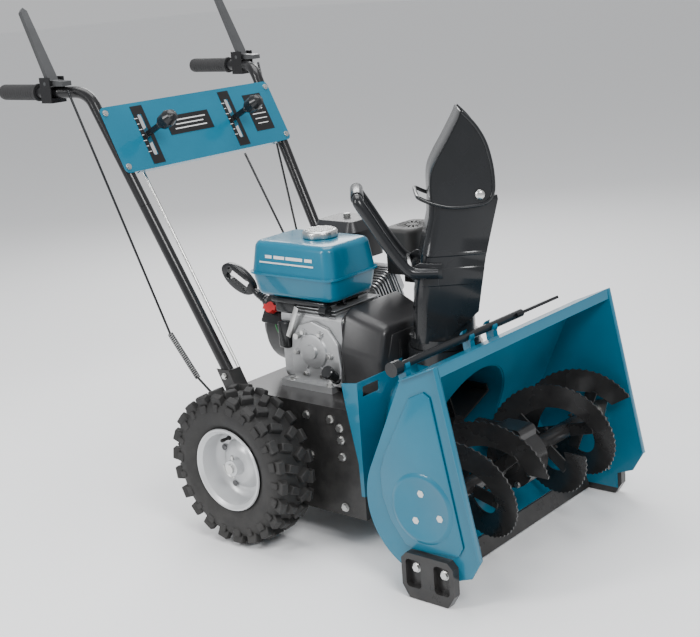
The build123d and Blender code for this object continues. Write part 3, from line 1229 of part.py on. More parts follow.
with BuildPart() as impeller_shaft:
    with BuildSketch(shaft_plane(0, IMPELLER_Z)):
        with BuildLine():
            Polyline((AUGER_Y - 18, 0), (AUGER_Y - 18, 10.3), (AUGER_Y + 22, 10.3), (AUGER_Y + 22, IMPELLER_SHAFT_R),
                     (AUGER_PULLEY_Y + 14, IMPELLER_SHAFT_R), (AUGER_PULLEY_Y + 14, 0), close=True)
        make_face()
    revolve(axis=shaft_line(IMPELLER_Z))

with BuildPart() as bearings:
    with BuildSketch(shaft_plane(0, IMPELLER_Z)):
        with BuildLine():
            Polyline((DRUM_REAR - 8, IMPELLER_SHAFT_R + RUN_GAP), (DRUM_REAR - 8, 17.8), (DRUM_REAR + 1, 17.8),
                     (DRUM_REAR + 1, 25), (FRAME_FRONT + 6, 25), (FRAME_FRONT + 6, IMPELLER_SHAFT_R + RUN_GAP),
                     close=True)
        make_face()
    revolve(axis=shaft_line(IMPELLER_Z))
    add(auger_bearings.part)
bearings.part.label = "bearings"
export_step(bearings.part, "parts/bearings.step")

with BuildPart() as auger_pulley:
    with BuildSketch(shaft_plane(AUGER_PULLEY_Y, IMPELLER_Z)):
        with BuildLine():
            Polyline(*pulley_profile(AUGER_PULLEY_R, IMPELLER_SHAFT_R), close=True)
        make_face()
    revolve(axis=shaft_line(IMPELLER_Z))
auger_pulley.part.label = "auger_pulley"
export_step(auger_pulley.part, "parts/auger_pulley.step")

BLADE_FRONT = -352.0
BLADE_REAR = DRUM_REAR - 12
with BuildPart() as impeller:
    add(impeller_shaft.part)
    with BuildSketch(FRONT.offset(-BLADE_REAR)):
        with Locations((0, IMPELLER_Z)):
            Circle(20)
    extrude(amount=BLADE_REAR - BLADE_FRONT)
    with BuildSketch(FRONT.offset(-BLADE_REAR)):
        with Locations((0, IMPELLER_Z)):
            with PolarLocations(0, 4, start_angle=20):
                with Locations((IMPELLER_R / 2 + 6, 0)):
                    Rectangle(IMPELLER_R - 22, 4)
                with Locations((IMPELLER_R - 6, 8)):
                    Rectangle(4, 18)
    extrude(amount=BLADE_REAR - BLADE_FRONT)
impeller.part.label = "impeller"
export_step(impeller.part, "parts/impeller.step")

# ---------------------------------------------------------------- chute
# Chute parts are drawn as if seen from their side: local x towards the mouth, local y upwards.
AIM = Vector(sin(radians(CHUTE_TURN)), -cos(radians(CHUTE_TURN)), 0)
CHUTE_SIDE = Plane(origin=spot(0, CHUTE_Y, 0), x_dir=AIM, z_dir=(AIM.Y, -AIM.X, 0))
CHUTE_FLOOR = Plane(origin=spot(0, CHUTE_Y, 0), x_dir=AIM, z_dir=(0, 0, 1))
CHUTE_REAR = ((411, -62), (504, -56), (581, -42), (663, -21), (700, -19))
PIVOT = (77.0, 703.0)
PIVOT_R = 4.0
HOOD_INNER = CHUTE_HALF + 1.3
HOOD_OUTER = HOOD_INNER + CHUTE_WALL


def chute_channel(inset, start_z):
    """The chute's channel as a closed tapering form, its front edge far ahead of the mouth."""
    with BuildPart() as form:
        for z, rear in ((start_z, CHUTE_REAR[0][1]),) + CHUTE_REAR[1:-1] + ((730, CHUTE_REAR[-1][1]),):
            back = rear + inset
            with BuildSketch(CHUTE_FLOOR.offset(z)):
                with Locations(((back + 200) / 2, 0)):
                    RectangleRounded(200 - back, 2 * CHUTE_HALF - 2 * inset, 24 - inset)
        loft(ruled=True)
    return form.part


with BuildPart() as chute_ring:
    with BuildSketch(CHUTE_FLOOR.offset(366)):
        Circle(76)
        Circle(COLLAR_R, mode=Mode.SUBTRACT)
    extrude(amount=CHUTE_FOOT_Z - 366)
    with BuildSketch(CHUTE_FLOOR.offset(CHUTE_FOOT_Z)):
        Circle(76)
        Circle(68, mode=Mode.SUBTRACT)
    extrude(amount=6.5)
    with BuildSketch(CHUTE_FLOOR.offset(CHUTE_FOOT_Z + 6.5)):
        Circle(76)
        Circle(CHUTE_FOOT_R + FREE_GAP, mode=Mode.SUBTRACT)
    extrude(amount=4)
chute_ring.part.label = "chute_ring"
export_step(chute_ring.part, "parts/chute_ring.step")

with BuildPart() as chute:
    add(chute_channel(0, CHUTE_REAR[0][0]))
    with BuildSketch(CHUTE_SIDE.offset(-100)):
        with BuildLine():
            Polyline((-6, CHUTE_REAR[0][0]), (65, 470), (83, 576), (113, 693), (106, 715), (-30, 699),
                     (-200, 699), (-200, 800), (300, 800), (300, 380), (-6, 380), close=True)
        make_face()
    extrude(amount=200, mode=Mode.SUBTRACT)
    with BuildSketch(CHUTE_FLOOR.offset(CHUTE_FOOT_Z + 1.5)):
        Circle(CHUTE_FOOT_R + 10)
    extrude(amount=4)
    with BuildSketch(CHUTE_FLOOR.offset(CHUTE_FOOT_Z + 1.5)):
        Circle(CHUTE_FOOT_R)
    extrude(amount=470 - CHUTE_FOOT_Z)
    with BuildPart(mode=Mode.PRIVATE) as chute_inside:
        add(chute_channel(CHUTE_WALL, CHUTE_REAR[0][0] + CHUTE_WALL))
        with BuildSketch(CHUTE_SIDE.offset(-100)):
            with BuildLine():
                Polyline((-6, CHUTE_REAR[0][0] + CHUTE_WALL), (62, 472), (300, 472), (300, 380), (-6, 380),
                         close=True)
            make_face()
        extrude(amount=200, mode=Mode.SUBTRACT)
    add(chute_inside.part, mode=Mode.SUBTRACT)
    with BuildSketch(CHUTE_FLOOR.offset(CHUTE_FOOT_Z - 5)):
        Circle(CHUTE_FOOT_R - CHUTE_WALL)
    extrude(amount=476 - CHUTE_FOOT_Z, mode=Mode.SUBTRACT)
    for _, sign in SIDES:
        for start, end, radius in ((CHUTE_HALF - CHUTE_WALL, HOOD_OUTER + FREE_GAP, PIVOT_R),
                                   (HOOD_OUTER + FREE_GAP, HOOD_OUTER + FREE_GAP + 3, 9)):
            with BuildSketch(CHUTE_SIDE.offset(sign * start)):
                with Locations(PIVOT):
                    Circle(radius)
            extrude(amount=sign * (end - start))
chute.part.label = "chute"
export_step(chute.part, "parts/chute.step")

LEG_OUT = CHUTE_HALF + 13.0
with BuildPart() as chute_handle:
    for _, sign in SIDES:
        with BuildSketch(CHUTE_SIDE.offset(sign * (CHUTE_HALF + 0.5))):
            with BuildLine():
                Polyline((-8, 542), (-8, 568), (-58, 572), (-146, 716), (-168, 704), (-86, 546), close=True)
            make_face()
        extrude(amount=sign * (LEG_OUT - CHUTE_HALF - 0.5))
    with BuildSketch(CHUTE_SIDE.offset(-LEG_OUT)):
        with Locations((-157, 709)):
            Circle(12)
        with Locations((-64, 559)):
            Rectangle(10, 22)
    extrude(amount=2 * LEG_OUT)
chute_handle.part.label = "chute_handle"
export_step(chute_handle.part, "parts/chute_handle.step")

with BuildPart() as deflector:
    with BuildSketch(CHUTE_SIDE.offset(-HOOD_OUTER)):
        with BuildLine():
            Polyline((-43, 700), (-18, 726), (-13, 751), (15, 800), (45, 847), (50, 863), (69, 832), (90, 808),
                     (103, 752), (104, 713), (95, 685), (60, 680), (23, 679), (-6, 688), close=True)
        make_face()
    extrude(amount=2 * HOOD_OUTER)
    with BuildSketch(CHUTE_SIDE.offset(-HOOD_INNER)):
        with BuildLine():
            Polyline((-37, 694), (-14.4, 723), (-9.4, 749.6), (18.4, 798), (49, 846), (200, 900), (200, 600),
                     (-37, 600), close=True)
        make_face()
    extrude(amount=2 * HOOD_INNER, mode=Mode.SUBTRACT)
    with BuildSketch(CHUTE_SIDE.offset(-HOOD_OUTER - 5)):
        with Locations(PIVOT):
            Circle(PIVOT_R + RUN_GAP)
    extrude(amount=2 * HOOD_OUTER + 10, mode=Mode.SUBTRACT)
deflector.part.label = "deflector"
export_step(deflector.part, "parts/deflector.step")

with BuildPart() as cleanout_tool:
    with BuildSketch(SIDE.offset(-298)):
        with Locations(TOOL_SPOT):
            Circle(TOOL_R)
    extrude(amount=430)
    with BuildSketch(SIDE.offset(-300)):
        with Locations(TOOL_SPOT):
            Circle(TOOL_R + 6)
    extrude(amount=22)
    with BuildSketch(Plane(origin=spot(100, *TOOL_SPOT), x_dir=(1, 0, 0), z_dir=(0, 0.42, 0.91))):
        with BuildLine():
            Polyline((0, -14), (24, -26), (140, -26), (150, -14), (150, 14), (140, 26), (24, 26), (0, 14),
                     close=True)
        make_face()
    extrude(amount=3, both=True)
cleanout_tool.part.label = "cleanout_tool"
export_step(cleanout_tool.part, "parts/cleanout_tool.step")

# ---------------------------------------------------------------- handlebars
BAR_FLARE = (HANDLE_BEND[0] - HANDLE_FOOT[0]) / (HANDLE_BEND[2] - HANDLE_FOOT[2])
GRIP_END = REAR_REACH - 7.0
LEVER_PIVOT_Y = GRIP_START[1] + 4
LEVER_PIVOT_Z = GRIP_START[2] + 20
LEVER_PIN_R = 4.0


def bar_spot(sign, z):
    """A point on the handle's centre line at a height, on one side."""
    return spot(sign * (HANDLE_FOOT[0] + (z - HANDLE_FOOT[2]) * BAR_FLARE), bar_y(z), z)


def upper_tube(sign, radius):
    """A solid round bar along the upper handle: up the slope, round two bends, back to the grip's end."""
    start = bar_spot(sign, HANDLE_SPLIT_Z)
    points = [start, spot(sign * HANDLE_BEND[0], *HANDLE_BEND[1:]),
              spot(sign * GRIP_START[0], *GRIP_START[1:]), spot(sign * GRIP_START[0], GRIP_END, GRIP_START[2])]
    with BuildPart() as bar:
        with BuildLine() as path:
            FilletPolyline(*points, radius=48)
        with BuildSketch(Plane(origin=start, z_dir=points[1] - start)):
            Circle(radius)
        sweep(path=path.wire())
    return bar.part


with BuildPart() as lever_brackets:
    with BuildSketch(GROUND.offset(GRIP_START[2] - 21)):
        with Locations(*[(sign * GRIP_START[0], LEVER_PIVOT_Y) for _, sign in SIDES]):
            Rectangle(40, 34)
    extrude(amount=54)
    with BuildSketch(GROUND.offset(GRIP_START[2] - 11)):
        with Locations(*[(sign * GRIP_START[0], LEVER_PIVOT_Y) for _, sign in SIDES]):
            Rectangle(35, 34)
    extrude(amount=60, mode=Mode.SUBTRACT)
    for _, sign in SIDES:
        add(upper_tube(sign, TUBE_R), mode=Mode.SUBTRACT)
        drill([facing((sign * GRIP_START[0], LEVER_PIVOT_Y, LEVER_PIVOT_Z), (1, 0, 0), (0, 1, 0))],
              LEVER_PIN_R + RUN_GAP, 30)

with BuildPart() as handle_tubes:
    for _, sign in SIDES:
        add(upper_tube(sign, TUBE_R))
        add(upper_tube(sign, TUBE_R - TUBE_WALL), mode=Mode.SUBTRACT)
        rise = bar_spot(sign, HANDLE_SPLIT_Z) - bar_spot(sign, HANDLE_FOOT[2] - 30)
        foot = Plane(origin=bar_spot(sign, HANDLE_FOOT[2] - 30), z_dir=rise)
        for radius, length in ((TUBE_R, rise.length - 1), (TUBE_R - TUBE_WALL - 0.1, rise.length + 58)):
            with BuildSketch(foot):
                Circle(radius)
            extrude(amount=length)
        with BuildSketch(foot):
            Circle(TUBE_R - 2 * TUBE_WALL)
        extrude(amount=rise.length + 60, mode=Mode.SUBTRACT)
    add(lever_brackets.part)
    drill(foot_bolt_places, 3 + HOLE_GAP, 60)
handle_tubes.part.label = "handle_tubes"
export_step(handle_tubes.part, "parts/handle_tubes.step")

with BuildPart() as grips:
    for _, sign in SIDES:
        with BuildSketch(FRONT.offset(-REAR_REACH)):
            with Locations((sign * GRIP_START[0], GRIP_START[2])):
                Circle(GRIP_R + 2)
        extrude(amount=9)
        with BuildSketch(FRONT.offset(-REAR_REACH + 9)):
            with Locations((sign * GRIP_START[0], GRIP_START[2])):
                Circle(GRIP_R)
        extrude(amount=GRIP_LENGTH - 9)
        with BuildSketch(FRONT.offset(-GRIP_END)):
            with Locations((sign * GRIP_START[0], GRIP_START[2])):
                Circle(TUBE_R)
        extrude(amount=GRIP_LENGTH, mode=Mode.SUBTRACT)
grips.part.label = "grips"
export_step(grips.part, "parts/grips.step")

# Clutch levers: tapered channels pivoted ahead of the grips, each with a short arm for its cable.
LEVER_RISE = 64.0
LEVER_WIDE = 25.0
for side, sign in SIDES:
    middle = spot(sign * GRIP_START[0], LEVER_PIVOT_Y, LEVER_PIVOT_Z)
    along = Vector(0, cos(radians(LEVER_RISE)), sin(radians(LEVER_RISE)))
    face = Plane(origin=middle, x_dir=along, z_dir=(0, -along.Z, along.Y))
    with BuildPart() as lever:
        with BuildSketch(face.offset(-2)):
            with BuildLine():
                Polyline((-4, -LEVER_WIDE / 2), (20, -LEVER_WIDE / 2), (LEVER_LENGTH, -8), (LEVER_LENGTH + 8, 0),
                         (LEVER_LENGTH, 8), (20, LEVER_WIDE / 2), (-4, LEVER_WIDE / 2), close=True)
            make_face()
        extrude(amount=11)
        with BuildSketch(face.offset(-8)):
            with BuildLine():
                Polyline((-30, -LEVER_WIDE / 2 + 2), (20, -LEVER_WIDE / 2 + 2), (LEVER_LENGTH - 2, -6),
                         (LEVER_LENGTH - 2, 6), (20, LEVER_WIDE / 2 - 2), (-30, LEVER_WIDE / 2 - 2), close=True)
            make_face()
        extrude(amount=15, mode=Mode.SUBTRACT)
        with BuildSketch(SIDE.offset(sign * GRIP_START[0] - 12)):
            with Locations((LEVER_PIVOT_Y, LEVER_PIVOT_Z)):
                Circle(7)
            with BuildLine():
                Polyline((LEVER_PIVOT_Y, LEVER_PIVOT_Z + 7), (LEVER_PIVOT_Y - 50, LEVER_PIVOT_Z + 4),
                         (LEVER_PIVOT_Y - 50, LEVER_PIVOT_Z - 6), (LEVER_PIVOT_Y, LEVER_PIVOT_Z - 6), close=True)
            make_face()
        extrude(amount=24)
        with BuildSketch(SIDE.offset(sign * GRIP_START[0] - 20)):
            with Locations((LEVER_PIVOT_Y, LEVER_PIVOT_Z)):
                Circle(LEVER_PIN_R)
        extrude(amount=40)
    lever.part.label = f"clutch_lever_{side}"
    export_step(lever.part, f"parts/clutch_lever_{side}.step")

# ---------------------------------------------------------------- control panel
PANEL_TILT = (0, -1 / hypot(1, BAR_RISE), BAR_RISE / hypot(1, BAR_RISE))
PANEL_MIDDLE_Z = (PANEL_LOW_Z + PANEL_HIGH_Z) / 2
PANEL_TALL = (PANEL_HIGH_Z - PANEL_LOW_Z) * hypot(1, BAR_RISE)
PANEL = facing((0, bar_y(PANEL_MIDDLE_Z), PANEL_MIDDLE_Z), PANEL_TILT).offset(TUBE_R)
SPEED_X = -160.0
THROTTLE_X = 105.0
LEVER_BACK = 52.0            # lever pivots lie this far behind the panel
SLOT_TALL = 96.0
PANEL_BOLTS = [(x, y) for x in (-247, 247) for y in (-PANEL_TALL / 2 + 14, PANEL_TALL / 2 - 14)]
with BuildPart() as control_panel:
    with BuildSketch(PANEL):
        RectangleRounded(2 * PANEL_HALF, PANEL_TALL, 12)
        with Locations((SPEED_X, 0), (THROTTLE_X, 0)):
            SlotOverall(SLOT_TALL, 11, rotation=90, mode=Mode.SUBTRACT)
    extrude(amount=2)
    with BuildSketch(PANEL):
        for y in (-1, 1):
            with Locations((0, y * (PANEL_TALL / 2 - 1))):
                Rectangle(2 * PANEL_HALF - 80, 2)
    extrude(amount=-14)
    for x in (SPEED_X, THROTTLE_X):
        with BuildSketch(Plane(origin=PANEL.origin + Vector(x + 7, 0, 0), x_dir=PANEL.y_dir, z_dir=(1, 0, 0))):
            with Locations((0, -LEVER_BACK / 2 - 6)):
                Rectangle(34, LEVER_BACK + 12)
            with Locations((0, -LEVER_BACK)):
                Circle(4 + RUN_GAP, mode=Mode.SUBTRACT)
        extrude(amount=3)
    drill([Plane(origin=PANEL.from_local_coords((x, y, 2)), z_dir=PANEL.z_dir) for x, y in PANEL_BOLTS],
          3 + HOLE_GAP, 3)
control_panel.part.label = "control_panel"
export_step(control_panel.part, "parts/control_panel.step")

ROD_ARM = 38.0
for name, x in (("speed_lever", SPEED_X), ("throttle_lever", THROTTLE_X)):
    side_view = Plane(origin=PANEL.from_local_coords((x, 0, -LEVER_BACK)), x_dir=PANEL.z_dir, z_dir=(-1, 0, 0))
    with BuildPart() as shift:
        with BuildSketch(side_view.offset(-3)):
            Circle(9)
            with Locations(((LEVER_BACK + 62) / 2, 0)):
                Rectangle(LEVER_BACK + 62, 12)
            with Locations((0, ROD_ARM / 2)):
                Rectangle(12, ROD_ARM + 10)
        extrude(amount=6)
        with BuildSketch(side_view.offset(-10)):
            Circle(4)
        extrude(amount=10)
        with BuildSketch(side_view):
            with BuildLine():
                Polyline((LEVER_BACK + 50, 0), (LEVER_BACK + 50, 9), (LEVER_BACK + 62, 16), (LEVER_BACK + 84, 18),
                         (LEVER_BACK + 98, 13), (LEVER_BACK + 104, 0), close=True)
            make_face()
        revolve(axis=Axis(side_view.origin, side_view.x_dir))
    shift.part.label = name
    export_step(shift.part, f"parts/{name}.step")

# The speed rod hangs from the lever's rear arm and runs down beside the right bar to the chassis.
ROD_R = 3.5
rod_head = PANEL.from_local_coords((SPEED_X - 8, -ROD_ARM, -LEVER_BACK))
with BuildPart() as speed_rod:
    with BuildSketch(Plane(origin=rod_head, z_dir=spot(*ROD_FOOT) - rod_head)):
        Circle(ROD_R)
    extrude(amount=(spot(*ROD_FOOT) - rod_head).length)
speed_rod.part.label = "speed_rod"
export_step(speed_rod.part, "parts/speed_rod.step")

CABLE_R = 2.6
SPRING_R = 6.0
with BuildPart() as control_cables:
    for _, sign in SIDES:
        places = [(sign * 292, 404, 932), (sign * 229, 238, 402), (sign * 216, 178, 306), (sign * 208, 140, 268),
                  (sign * 184, 102, 250)]
        for start, end, radius in ((0, 1, CABLE_R), (1, 2, SPRING_R), (2, 3, CABLE_R), (3, 4, CABLE_R)):
            run = spot(*places[end]) - spot(*places[start])
            with BuildSketch(Plane(origin=spot(*places[start]), z_dir=run)):
                Circle(radius)
            extrude(amount=run.length)
    throttle_run = spot(152, 92, CHASSIS_TOP + 2) - spot(THROTTLE_X, 292, 742)
    with BuildSketch(Plane(origin=spot(THROTTLE_X, 292, 742), z_dir=throttle_run)):
        Circle(CABLE_R)
    extrude(amount=throttle_run.length)
control_cables.part.label = "control_cables"
export_step(control_cables.part, "parts/control_cables.step")

with BuildPart() as frame_bolts:
    add(hex_bolts(side_places, 4, 10).part)
    add(hex_bolts([facing((x, y, CHASSIS_BOTTOM - SHEET), (0, 0, -1)) for x, y in BOTTOM_BOLTS], 3, 9).part)
    add(hex_bolts(foot_bolt_places, 3, 36).part)
    add(hex_bolts([Plane(origin=PANEL.from_local_coords((x, y, 2)), z_dir=PANEL.z_dir)
                   for x, y in PANEL_BOLTS], 3, 2).part)
frame_bolts.part.label = "frame_bolts"
export_step(frame_bolts.part, "parts/frame_bolts.step")
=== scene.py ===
# %% [markdown]
# # A two-stage snowblower, finished in Blender
# The machine's real shapes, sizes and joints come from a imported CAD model, loaded here as a fixed frame.
# This lesson adds what the eye wants: lugged rubber, pressed and painted sheet, moulded plastic, cast metal,
# cables and small hardware. Pieces that are already right keep their CAD mesh and only get a finish.
# Everything is in metres, with the auger end facing -Y and the operator at +Y.

# %% Load the frame
import bpy
import bmesh
import json
from math import cos, pi, radians, sin, tau
from mathutils import Matrix, Vector


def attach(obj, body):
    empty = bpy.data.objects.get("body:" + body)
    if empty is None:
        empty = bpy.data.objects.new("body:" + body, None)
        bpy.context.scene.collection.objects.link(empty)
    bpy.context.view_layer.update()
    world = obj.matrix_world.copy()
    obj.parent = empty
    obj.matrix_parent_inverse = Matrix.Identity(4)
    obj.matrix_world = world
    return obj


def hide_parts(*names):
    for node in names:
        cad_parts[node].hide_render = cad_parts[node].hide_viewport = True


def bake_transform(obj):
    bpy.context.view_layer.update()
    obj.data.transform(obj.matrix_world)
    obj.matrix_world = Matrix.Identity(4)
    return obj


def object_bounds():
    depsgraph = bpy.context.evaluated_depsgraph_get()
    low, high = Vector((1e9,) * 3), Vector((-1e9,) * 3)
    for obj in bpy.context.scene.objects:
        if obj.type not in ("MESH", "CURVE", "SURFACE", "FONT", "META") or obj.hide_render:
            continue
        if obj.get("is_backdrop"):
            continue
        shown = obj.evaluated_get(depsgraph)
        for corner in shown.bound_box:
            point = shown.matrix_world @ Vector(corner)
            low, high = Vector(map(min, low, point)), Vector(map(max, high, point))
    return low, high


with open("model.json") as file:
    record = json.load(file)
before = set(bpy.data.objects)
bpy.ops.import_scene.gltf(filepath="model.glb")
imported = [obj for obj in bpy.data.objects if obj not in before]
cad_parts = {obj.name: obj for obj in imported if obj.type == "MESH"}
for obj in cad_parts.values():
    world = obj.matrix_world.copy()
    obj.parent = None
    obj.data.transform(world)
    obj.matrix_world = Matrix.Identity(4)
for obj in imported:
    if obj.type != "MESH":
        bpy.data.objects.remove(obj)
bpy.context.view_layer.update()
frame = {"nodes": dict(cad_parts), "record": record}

# %% [markdown]
# ## Where things are
# The drawing counts every place in millimetres from the wheel axle, so this helper turns such a place into
# metres in the shared frame. The axle lies ten millimetres ahead of the machine's middle.

# %% Places
AXLE_SHIFT = -10.0


def at(x, y, z):
    """A drawing place (mm, y counted from the axle) as a point in metres."""
    return Vector((x, y + AXLE_SHIFT, z)) / 1000.0


WHEEL_X = 280.0
AXLE_Z = 165.0
print("axle at", tuple(round(v, 3) for v in at(0, 0, AXLE_Z)))

# %% [markdown]
# ## The camera
# A long lens from the front right, a little above the housing, slightly rolled. Its axes are written as
# three vectors, which avoids guessing at rotation orders.

# %% Camera
camera_back = Vector((-0.7316, -0.6313, 0.2573)).normalized()
camera_right = Vector((0.6533, -0.7571, 0.0)).normalized()
camera_up = camera_back.cross(camera_right)
roll = radians(-4.28)
lens_x = camera_right * cos(roll) + camera_up * sin(roll)
lens_y = -camera_right * sin(roll) + camera_up * cos(roll)
camera_data = bpy.data.cameras.new("main_camera")
camera_data.lens = 68.07
camera_data.sensor_width = 36.0
camera = bpy.data.objects.new("main_camera", camera_data)
bpy.context.scene.collection.objects.link(camera)
camera_axes = Matrix((lens_x, lens_y, camera_back)).transposed().to_4x4()
camera.matrix_world = Matrix.Translation((-2.071, -1.878, 1.1434)) @ camera_axes
bpy.context.scene.camera = camera
print("camera at", tuple(round(v, 2) for v in camera.location))

# %% [markdown]
# ## Light and floor
# Product pictures are lit by big soft sources from above and both sides over a pale floor, so black plastic
# shows its edges as long soft reflections. Four area lights and an even sky do the same.

# %% Light and floor
world = bpy.data.worlds.new("soft_sky")
bpy.context.scene.world = world
world.use_nodes = True
world.node_tree.nodes["Background"].inputs["Color"].default_value = (0.97, 0.98, 1.0, 1)
world.node_tree.nodes["Background"].inputs["Strength"].default_value = 0.62


def soft_light(name, place, target, size, power):
    """An area light of a given size, aimed at a point."""
    data = bpy.data.lights.new(name, "AREA")
    data.shape = "RECTANGLE"
    data.size = size[0]
    data.size_y = size[1]
    data.energy = power
    lamp = bpy.data.objects.new(name, data)
    bpy.context.scene.collection.objects.link(lamp)
    lamp.location = place
    lamp.rotation_euler = (Vector(target) - Vector(place)).to_track_quat("-Z", "Y").to_euler()


soft_light("key", (-1.2, -2.6, 2.6), (0, -0.1, 0.5), (1.2, 0.9), 80)
soft_light("side", (-2.6, 0.9, 1.9), (0, 0, 0.5), (0.6, 1.6), 52)
soft_light("top", (0.3, 0.2, 3.0), (0, 0, 0.4), (2.0, 2.0), 70)
soft_light("back", (2.2, 1.8, 2.0), (0, 0, 0.6), (1.4, 1.4), 36)

floor_bm = bmesh.new()
bmesh.ops.create_grid(floor_bm, x_segments=1, y_segments=1, size=30)
floor_mesh = bpy.data.meshes.new("floor")
floor_bm.to_mesh(floor_mesh)
floor_bm.free()
floor = bpy.data.objects.new("floor", floor_mesh)
floor.location.z = -0.0015
bpy.context.scene.collection.objects.link(floor)
floor_paint = bpy.data.materials.new("floor_paper")
floor_paint.use_nodes = True
floor_paint.node_tree.nodes["Principled BSDF"].inputs["Base Color"].default_value = (0.93, 0.935, 0.94, 1)
floor_paint.node_tree.nodes["Principled BSDF"].inputs["Roughness"].default_value = 0.75
floor_mesh.materials.append(floor_paint)
floor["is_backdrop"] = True
print("stage set")

# %% [markdown]
# ## Shared surface effects
# Four effects turn up on nearly every surface, so each is a node group built once: fine **grain** for moulded
# and sprayed skins, **scuffs** as thin stretched scratches, **dust** that gathers low on the machine, and
# **mottle**, the slow change of tone that keeps a large panel from looking flat. A group only puts out
# values. Colours and shaders stay in each material.

# %% Node group helper
def new_group(name, inputs, outputs):
    """An empty shader group with named value sockets."""
    group = bpy.data.node_groups.new(name, "ShaderNodeTree")
    for label, start in inputs:
        socket = group.interface.new_socket(name=label, in_out="INPUT", socket_type="NodeSocketFloat")
        socket.default_value = start
    group.interface.new_socket(name="Place", in_out="INPUT", socket_type="NodeSocketVector")
    for label in outputs:
        group.interface.new_socket(name=label, in_out="OUTPUT", socket_type="NodeSocketFloat")
    return group, group.nodes.new("NodeGroupInput"), group.nodes.new("NodeGroupOutput")


def noise(tree, place, scale, detail=3.0, roughness=0.6):
    """A noise texture fed by a place and a scale, each a socket or a number."""
    node = tree.nodes.new("ShaderNodeTexNoise")
    tree.links.new(place, node.inputs["Vector"])
    if isinstance(scale, (int, float)):
        node.inputs["Scale"].default_value = scale
    else:
        tree.links.new(scale, node.inputs["Scale"])
    node.inputs["Detail"].default_value = detail
    node.inputs["Roughness"].default_value = roughness
    return node.outputs["Fac"]


def spread(tree, value, low, high, out_low=0.0, out_high=1.0):
    """Map a value's range onto another, clamped."""
    node = tree.nodes.new("ShaderNodeMapRange")
    tree.links.new(value, node.inputs["Value"])
    for label, number in (("From Min", low), ("From Max", high), ("To Min", out_low), ("To Max", out_high)):
        node.inputs[label].default_value = number
    return node.outputs["Result"]


def maths(tree, operation, first, second):
    """One arithmetic step on sockets or numbers."""
    node = tree.nodes.new("ShaderNodeMath")
    node.operation = operation
    for slot, value in enumerate((first, second)):
        if isinstance(value, (int, float)):
            node.inputs[slot].default_value = value
        else:
            tree.links.new(value, node.inputs[slot])
    return node.outputs["Value"]


# %% Grain
grain, grain_in, grain_out = new_group("grain", [("Scale", 900.0)], ["Height"])
fine = noise(grain, grain_in.outputs["Place"], grain_in.outputs["Scale"], 4.0, 0.65)
broad = noise(grain, grain_in.outputs["Place"], maths(grain, "MULTIPLY", grain_in.outputs["Scale"], 0.22),
              2.0)
grain.links.new(maths(grain, "ADD", maths(grain, "MULTIPLY", fine, 0.6),
                      maths(grain, "MULTIPLY", broad, 0.4)), grain_out.inputs["Height"])
print("group", grain.name)

# %% Scuffs
scuffs, scuffs_in, scuffs_out = new_group("scuffs", [("Scale", 40.0)], ["Mask"])
stretch = scuffs.nodes.new("ShaderNodeMapping")
stretch.inputs["Scale"].default_value = (1.0, 7.0, 0.5)
stretch.inputs["Rotation"].default_value = (0.5, 0.3, 0.9)
scuffs.links.new(scuffs_in.outputs["Place"], stretch.inputs["Vector"])
streak = noise(scuffs, stretch.outputs["Vector"], scuffs_in.outputs["Scale"], 6.0, 0.75)
patch = noise(scuffs, scuffs_in.outputs["Place"], 9.0, 2.0)
scuffs.links.new(maths(scuffs, "MULTIPLY", spread(scuffs, streak, 0.60, 0.72),
                       spread(scuffs, patch, 0.45, 0.65)), scuffs_out.inputs["Mask"])
print("group", scuffs.name)

# %% Dust
dust, dust_in, dust_out = new_group("dust", [("Top", 0.6)], ["Mask"])
apart = dust.nodes.new("ShaderNodeSeparateXYZ")
dust.links.new(dust_in.outputs["Place"], apart.inputs["Vector"])
low_down = maths(dust, "SUBTRACT", 1.0, maths(dust, "DIVIDE", apart.outputs["Z"], dust_in.outputs["Top"]))
cloud = noise(dust, dust_in.outputs["Place"], 26.0, 5.0, 0.7)
dust.links.new(spread(dust, maths(dust, "MULTIPLY", low_down, cloud), 0.1, 0.62), dust_out.inputs["Mask"])
print("group", dust.name)

# %% Mottle
mottle, mottle_in, mottle_out = new_group("mottle", [("Scale", 7.0)], ["Shade"])
slow = noise(mottle, mottle_in.outputs["Place"], mottle_in.outputs["Scale"], 3.0, 0.55)
mottle.links.new(spread(mottle, slow, 0.25, 0.75), mottle_out.inputs["Shade"])
print("group", mottle.name)

# %% [markdown]
# ## One recipe for a finish
# Every finish here is the same short recipe with other numbers: mottle shifts the base colour between two
# close tones, scuffs and dust are mixed over it and change the roughness, and grain raises the surface a
# few hundredths of a millimetre. Numbers that don't change over the surface, such as the clear coat or the
# metal, are written straight on the shader.

